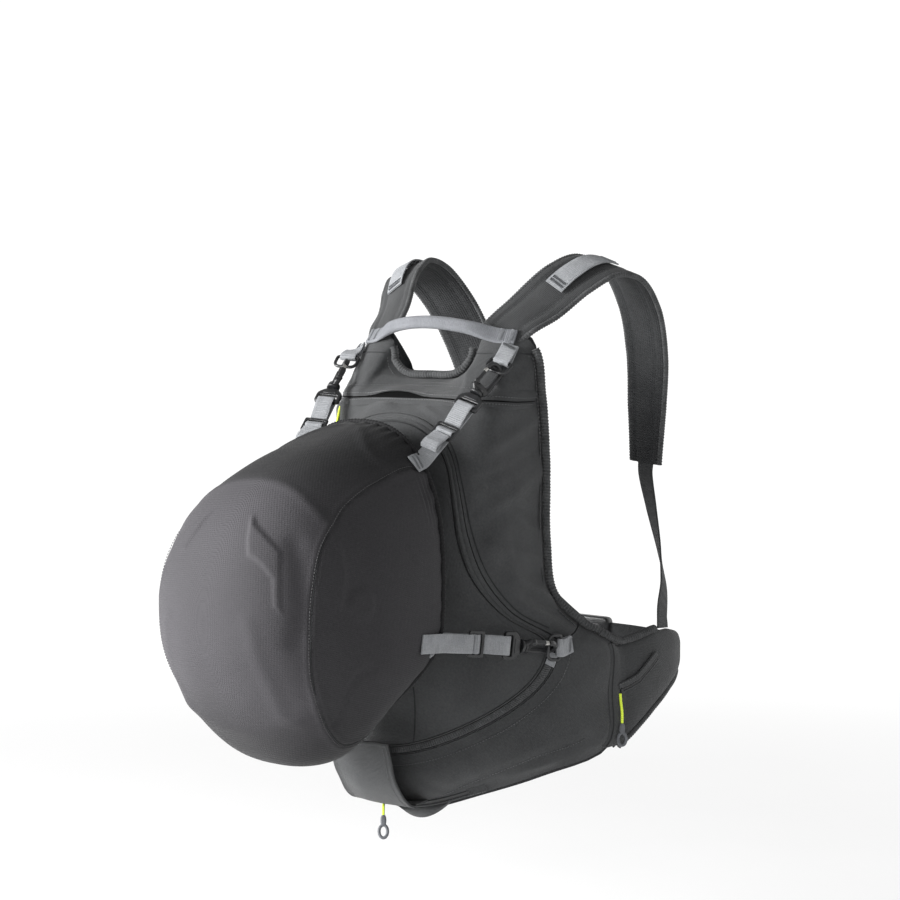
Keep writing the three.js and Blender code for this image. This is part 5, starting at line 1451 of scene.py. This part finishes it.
def spun(rows, finish=0, count=24):  # a turned shape about the up axis: radius and height of each row
    turn = np.linspace(0, 2 * np.pi, count, endpoint=False)
    rings = np.stack([np.stack([r * np.cos(turn), r * np.sin(turn), np.full(count, z)], 1) for r, z in rows])
    return tube(rings, finish=finish)


def rivet(across, up, half, radius):  # a pin's two rounded heads, through the thickness
    part = spun([(radius * 0.6, -half - 0.7), (radius, -half - 0.2), (radius, half + 0.2),
                 (radius * 0.6, half + 0.7)], 0, 16)
    part["points"] = part["points"][:, [0, 2, 1]] + (across, 0, up)
    return part


def ringPart():
    bow = ring["half"] - ring["flat"]
    corner = ring["corner"]
    path = np.vstack([arc((ring["half"] - corner, ring["height"] - corner), corner, 0, 90, 8),
                      arc((corner - ring["half"], ring["height"] - corner), corner, 90, 180, 8),
                      arc((-ring["flat"], bow), bow, 180, 270, 14),
                      arc((ring["flat"], bow), bow, 270, 360, 14)])
    path = np.insert(path, 1, 0.0, axis=1)
    return [tube(sweep(path, (0, 1, 0), circle(ring["wire"], 14), True), True)]


def hookParts():
    outer = hook["radius"] + hook["bar"]
    seat = hook["knuckle"] + cloth["gap"]
    pivot = (hook["pivotAcross"], hook["pivotDown"])
    outline = np.vstack([
        [(hook["radius"], hook["nose"]), (outer, hook["nose"])], arc((0, hook["eye"]), outer, 0, 180, 34),
        filletedRun([(-outer, hook["shoulder"] + 6), (-outer, hook["shoulder"]),
                     (-hook["neckHalf"], hook["shoulder"] - 4.4),
                     (-hook["neckHalf"], hook["neckEnd"])], 3),
        filletedRun([(hook["neckHalf"], hook["neckEnd"]), (hook["neckHalf"], hook["shoulder"] - 4.4),
                     (outer, hook["shoulder"]),
                     (outer, hook["pivotDown"] - seat * 0.8)], 3),
        arc(pivot, seat, -45, -180, 14), [(-hook["radius"], hook["pivotDown"])],
        arc((0, hook["eye"]), hook["radius"], 180, 0, 28)])
    collar = spun([(4.6, -29.2), (6.6, -29.6), (6.9, -30.4), (6.9, -31.6), (6.0, -32.0), (6.0, -33.2),
                   (7.2, -33.6), (7.2, -35.4), (6.6, -35.9)])
    spine = np.array([(-hook["radius"] - hook["bar"] / 2, z) for z in np.linspace(-4, -24, 20)])
    ridge = tube(sweep(np.insert(spine, 1, hook["thick"] / 2 + 0.1, axis=1), (1, 0, 0),
                       roundBand(1.6, 0.9, 3)))
    return [plate(outline, [], hook["thick"], 1.7), collar, ridge, rivet(*pivot, hook["thick"] / 2, 1.6)]


def filletedRun(points, radius):  # an open run with its inner corners rounded
    points = np.asarray(points, float)
    made = [points[0]]
    for before, here, after in zip(points, points[1:], points[2:]):
        reach = min(radius, 0.45 * np.linalg.norm(before - here), 0.45 * np.linalg.norm(after - here))
        a, b = here + unit(before - here) * reach, here + unit(after - here) * reach
        made += [a * (1 - t) ** 2 + 2 * here * t * (1 - t) + b * t**2 for t in np.linspace(0, 1, 6)]
    return np.array(made + [points[-1]])


def gateParts():  # drawn about its own pivot, with a bright sprung tip
    long = hook["nose"] - cloth["gap"] - hook["pivotDown"]
    inner = hook["radius"] + cloth["gap"] - hook["pivotAcross"]
    outer = hook["radius"] + hook["bar"] - cloth["gap"] - hook["pivotAcross"]
    first = math.degrees(math.acos(inner / hook["knuckle"]))
    last = 360 + math.degrees(math.acos(outer / hook["knuckle"]))
    outline = np.vstack([[(outer, long - 5), (inner, long - 5)],
                         arc((0, 0), hook["knuckle"], first, last, 26)])
    tip = filleted([(inner + 0.2, long - 5.2), (inner + 0.2, long), (outer - 0.2, long),
                    (outer - 0.2, long - 5.2)], 1.0)
    grips = [tube(sweep(np.array([(inner + 0.5, y, z), (outer - 0.4, y, z)]), (0, 0, 1),
                        roundBand(1.0, 0.7, 2)))
             for z in np.arange(4.5, long - 6, 1.9) for y in (2.8, -2.8)]
    return [plate(outline, [], 5.6, 1.2), plate(tip, [], 4.8, 0.9, 1)] + grips


def baseParts():
    half, neck = clipBase["half"], clipBase["neckHalf"]
    outline = filleted([(-neck, clipBase["top"]), (-half, clipBase["shoulder"]),
                        (-half, clipBase["bottom"]), (half, clipBase["bottom"]),
                        (half, clipBase["shoulder"]), (neck, clipBase["top"])], 3.5)
    slot = filleted(box(clipBase["slotHalf"], clipBase["slotEnd"], clipBase["slotTop"]), 1.5)
    boss = filleted([(-5.5, -38), (-8.5, -44.5), (8.5, -44.5), (5.5, -38)], 1.6)
    return [plate(outline, [slot], clipBase["thick"], 1.4), plate(boss, [], clipBase["thick"] + 1.4, 0.6)]


def glideParts():
    halfway, high = (glide["top"] + glide["bottom"]) / 2, (glide["top"] - glide["bottom"]) / 2
    outline = filleted(box(glide["half"], glide["bottom"], glide["top"]), glide["corner"])
    slots = [filleted(box(glide["slotHalf"], halfway + low, halfway + top), 1.0)
             for low, top in ((glide["middle"] / 2, high - glide["bar"]),
                              (glide["bar"] - high, -glide["middle"] / 2))]
    ribs = [tube(sweep(np.array([(-9.5, y, z), (9.5, y, z)]), (0, 0, 1), roundBand(0.8, 0.6, 2)))
            for z in (glide["top"] - 1.3, glide["top"] - 2.4, glide["bottom"] + 1.3, glide["bottom"] + 2.4)
            for y in (glide["thick"] / 2, -glide["thick"] / 2)]
    return [plate(outline, slots, glide["thick"], 0.9)] + ribs


def eased(points, passes=3):  # corners of a strap's route worn round
    points = np.asarray(points, float)
    for _ in range(passes):
        a, b = points[:-1], points[1:]
        cut = np.stack([0.75 * a + 0.25 * b, 0.25 * a + 0.75 * b], 1)
        points = np.vstack([points[:1], cut.reshape(-1, 3), points[-1:]])
    return points


def spaced(points, step):
    run = np.concatenate([[0], np.cumsum(np.linalg.norm(np.diff(points, axis=0), axis=1))])
    at = np.linspace(0, run[-1], int(run[-1] / step) + 1)
    return np.stack([np.interp(at, run, points[:, k]) for k in range(3)], 1), at / run[-1]


def clipFrame(row):
    around = unit(coverPoint(webbing["hemRow"], row["hemTurn"] + 6, False) - coverPoint(webbing["hemRow"],
            row["hemTurn"] - 6, False))
    normal = unit(np.cross(around, coverPoint(2 * webbing["hemRow"], row["hemTurn"], False) - coverPoint(0,
            row["hemTurn"], False)))
    sewn = [coverPoint(r, row["hemTurn"], False) + normal * (row["lift"] + webbing["thick"] / 2)
            for r in webbing["sewnRows"]]
    origin = np.array(row["ring"], float)
    up = unit(origin - sewn[0])
    out = np.array(row["face"], float)
    out = unit(out - up * np.dot(out, up))
    return {"origin": origin, "across": np.cross(out, up), "out": out, "up": up, "sewn": sewn,
            "around": around, "normal": normal}


def placed(part, clip, turn=0.0, shift=(0, 0, 0)):  # from the clip's frame into the pack's
    points = part["points"] + shift
    c, s = math.cos(math.radians(turn)), math.sin(math.radians(turn))
    points = np.stack([points[:, 0] * c - points[:, 1] * s, points[:, 0] * s + points[:, 1] * c,
                       points[:, 2]], 1)
    return {**part, "points": clip["origin"] + points @ np.stack([clip["across"], clip["out"], clip["up"]])}


def strapParts(row, clip):  # doubled over the base's bar, woven through the tri-glide, sewn to the cover
    half = webbing["thick"] / 2
    clear = cloth["gap"] + half
    bar = clipBase["thick"] / 2 + clear + cloth["gap"]
    over = glide["thick"] / 2 + clear
    halfway, slot = (glide["top"] + glide["bottom"]) / 2, (glide["top"] - glide["bottom"]) / 2 - glide["bar"]
    under = -(over + webbing["thick"] + cloth["gap"])
    end = clipBase["slotEnd"]
    route = [(under, halfway), (under, glide["top"] + 2), (-bar, clipBase["bottom"] - 2), (-bar, end),
             (-bar * 0.75, end + clear * 1.05),
             (0, end + clear * 1.2), (bar * 0.75, end + clear * 1.05), (bar, end),
             (bar, clipBase["bottom"] - 2),
             (-over * 0.3, glide["top"] + 5), (-over, glide["top"] + 1), (-over, halfway + slot),
             (over, halfway + glide["middle"] / 2),
             (over, halfway - glide["middle"] / 2), (-over, halfway - slot), (-over, glide["bottom"] - 1)]
    world = np.stack([clip["origin"] + clip["out"] * face + clip["up"] * up for face, up in route])
    tail = smoothPath(np.vstack([world[-1], (world[-1] + clip["sewn"][0]) / 2, clip["sewn"]]), 9)[1:]
    path = eased(np.vstack([world, tail]), 2)
    path, run = spaced(path, 0.55)
    startTail = float(np.linalg.norm(np.diff(world, axis=0), axis=1).sum())
    whole = startTail + float(np.linalg.norm(np.diff(np.vstack([world[-1:], tail]), axis=0), axis=1).sum())
    twist = np.clip((run - startTail / whole) / max(0.8 * (1 - startTail / whole), 1e-6), 0, 1)[:, None]
    endSide = clip["around"] * np.sign(np.dot(clip["around"], clip["across"]))
    sides = clip["across"] * (1 - twist) + endSide * twist
    parts = [ribbedBand(path, sides, webbing["clip"], webbing["thick"], 2.1, 0.2)]
    low = glide["bottom"]
    if row["level"] == "upper":  # the spare end is rolled up under the tri-glide, or hangs over the cover
        spare = [(over, low + 4), (over + 1.6, low - 3), (over + 4.6, low - 11), (over + 4.4, low - 17),
                 (over + 1.6, low - 19),
                 (over + 0.6, low - 15), (over + 1.4, low - 9)]
    else:
        spare = [(over, low + 4), (over + 2.2, low - 4), (over + 3.6, low - 20), (over + 4.8, low - 33),
                 (over + 9.5, low - 43), (over + 17.5, low - 57), (over + 26, low - 73)]
    spareLine = np.stack([clip["origin"] + clip["out"] * face + clip["up"] * up for face, up in spare])
    spareLine = evenPath(spareLine, 0.55)
    parts.append(ribbedBand(spareLine, clip["across"], webbing["clip"], webbing["thick"], 2.1, 0.25))
    spot = clip["sewn"][1] + clip["normal"] * 1.2
    toCover = unit(clip["sewn"][2] - clip["sewn"][0])
    for shift in (-3.5, 4.0):
        middle = spot + toCover * shift
        parts.append(barTack(middle - endSide * 8, middle + endSide * 8, toCover, clip["normal"], 3.0, 9))
    return parts


def tabParts(row, clip):  # webbing folded round the ring's bar, both plies sewn to the pack
    seat = row["seat"]
    distance = wallLength(seat["station"]) - seat["edgeDepth"]
    face = clothNormal(seat["station"], distance)
    spot = onCloth(seat["station"], distance, seat["height"])
    side = unit(np.cross(face, clip["up"]))
    side = side * np.sign(np.dot(side, clip["across"]))
    clear = ring["wire"] + cloth["gap"] + webbing["thick"] / 2
    high = ring["height"]
    fold = [(-clear, high + clear), (-clear, high), (-clear * 0.75, high - clear * 0.85),
            (0, high - clear * 1.15),
            (clear * 0.75, high - clear * 0.85), (clear, high), (clear, high + clear)]
    world = [clip["origin"] + clip["out"] * a + clip["up"] * b for a, b in fold]
    upper = spot + face * (webbing["thick"] + cloth["gap"])
    path, run = spaced(eased(np.vstack([spot, world, upper]), 2), 0.5)
    bend = np.clip(np.abs(2 * run - 1) * 2 - 1, 0, 1)[:, None]
    parts = [ribbedBand(path, clip["across"] * (1 - bend) + side * bend, webbing["tab"], webbing["thick"],
                        2.1, 0.2)]
    away = unit(upper - world[-1])
    parts.append(barTack(upper - side * 8 - away * 3.5 + face * 1.3,
                         upper + side * 8 - away * 3.5 + face * 1.3, away, face, 3.4, 10))
    if row["level"] == "lower":  # its spare end covers the top of the lower zip
        patch = zipLine(10.5, 11.3, 0, 3.6)
        parts.append(ribbedBand(patch, np.cross(tangents(patch), clothNormal(11, 0)), 11.5, 1.4))
    return parts


def makeClips():
    pivot = (hook["pivotAcross"], 0, hook["pivotDown"])
    for row, hand in [(row, hand) for row in holders for hand in hands]:
        own = {**row, **row.get(hand["name"], {})}  # drawn as on the right, then mirrored
        clip = clipFrame(own)
        made = [
            ("tab", "ring_tab", tabParts(own, clip), [greyWebbing, greyThread], "webbing", False),
            ("ring", "d_ring", [placed(p, clip) for p in ringPart()], [blackAcetal], "plastic", False),
            ("frame", "strap_base", [placed(p, clip) for p in baseParts()], [blackAcetal], "plastic", False),
            ("glide", "tri_glide", [placed(p, clip) for p in glideParts()], [blackAcetal], "plastic", False),
            ("clip_strap", "holder_strap", strapParts(own, clip), [greyWebbing, greyThread], "webbing",
             False),
            ("hook", "snap_hook", [placed(p, clip, hook["turn"]) for p in hookParts()],
             [blackAcetal], "plastic", False),
            ("latch", "hook_gate", [placed(p, clip, hook["turn"], pivot) for p in gateParts()],
             [blackAcetal, platedSteel], "plastic", True),
        ]
        tag = f"{row['level']}_{hand['name']}"
        for short, node, parts, finishes, slot, moves in made:
            sided = [{**part, "points": part["points"] * (hand["sign"], 1, 1)} for part in parts]
            makePiece(f"{short}_{tag}", sided, finishes, [f"{node}_{tag}"],
                      f"gate_{tag}" if moves else "pack", 40)


def makeBuckle():
    outline = filleted(box(buckle["width"] / 2, -buckle["height"] / 2, buckle["height"] / 2),
                       buckle["corner"])
    panel = filleted(box(buckle["width"] / 2 - 9, -buckle["height"] / 2 + 8, buckle["height"] / 2 - 8), 4)
    parts = [plate(outline, [], buckle["depth"], 2.6), plate(panel, [], buckle["depth"] + 1.2, 0.6)]
    for part in parts:
        part["points"] = part["points"] + (0, buckle["y"], belt["height"])
    makePiece("buckle", parts, [blackAcetal], ["waist_buckle"], sharp=40)


makeClips()
makeBuckle()
print("clips and buckle made")

# floor, lights and the pale room

studio = {"floor": -750, "aim": (0, -120, -100), "nearFloor": 1.0, "farFloor": 3.2, "horizon": 1.08,
          "overhead": 0.42, "lights": [
    {"name": "key", "at": (-1450, -2080, 420), "size": 1400, "power": 162},
    {"name": "rear", "at": (600, 2300, 700), "size": 1500, "power": 8},
]}


def makeStudio():
    scene = bpy.context.scene
    scene.view_settings.view_transform = "Standard"
    world = bpy.data.worlds.new("pale_room")
    world.use_nodes = True
    tree = world.node_tree
    place = addNode(tree, "ShaderNodeTexCoord").outputs["Generated"]
    height = addNode(tree, "ShaderNodeSeparateXYZ", {}, {0: place}).outputs[2]
    ramp = addNode(tree, "ShaderNodeValToRGB", {}, {"Fac": height})  # bright walls under a dimmer ceiling
    for element, position, level in zip(ramp.color_ramp.elements, (0.14, 0.6),
                                        (studio["horizon"], studio["overhead"])):
        element.position, element.color = position, (level, level, level, 1)
    tree.links.new(ramp.outputs[0], tree.nodes["Background"].inputs["Color"])
    scene.world = world
    for row in studio["lights"]:
        light = bpy.data.lights.new(row["name"], "AREA")
        light.shape = "DISK"
        light.size = row["size"] * mm
        light.energy = row["power"]
        lamp = bpy.data.objects.new(row["name"], light)
        lamp.location = Vector(row["at"]) * mm
        aim = Vector(studio["aim"]) * mm - lamp.location
        lamp.rotation_euler = aim.to_track_quat("-Z", "Y").to_euler()
        scene.collection.objects.link(lamp)
    # matt painted board: near white, faintly uneven, and lit to the white of the wall further off
    material, tree = newMaterial("painted_board_white")
    place = addNode(tree, "ShaderNodeTexCoord").outputs["Object"]
    cloud = addNode(tree, "ShaderNodeTexNoise", {"Scale": 3.0, "Detail": 2.0}, {"Vector": place})
    ramp = addNode(tree, "ShaderNodeValToRGB", {}, {"Fac": cloud.outputs[0]})
    ramp.color_ramp.elements[0].color = linear("#f4f4f4")
    ramp.color_ramp.elements[1].color = linear("#fafafa")
    paint = addNode(tree, "ShaderNodeBsdfPrincipled", {"Roughness": 0.9}, {"Base Color": ramp.outputs[0]})
    glow = addNode(tree, "ShaderNodeEmission", {"Strength": studio["horizon"]})
    reach = addNode(tree, "ShaderNodeVectorMath", {"operation": "LENGTH"}, {0: place}).outputs["Value"]
    far = addNode(tree, "ShaderNodeMapRange",
                  {"From Min": studio["nearFloor"], "From Max": studio["farFloor"]}, {"Value": reach})
    both = addNode(tree, "ShaderNodeMixShader", {},
                   {0: far.outputs[0], 1: paint.outputs[0], 2: glow.outputs[0]})
    addNode(tree, "ShaderNodeOutputMaterial", {}, {0: both.outputs[0]})
    mesh = bpy.data.meshes.new("floor")
    turn = np.linspace(0, 2 * np.pi, 64, endpoint=False)
    mesh.from_pydata([(30 * math.cos(t), 30 * math.sin(t), studio["floor"] * mm) for t in turn], [],
                     [list(range(64))])
    mesh.materials.append(material)
    floor = bpy.data.objects.new("floor", mesh)
    scene.collection.objects.link(floor)


makeStudio()
print("studio made")
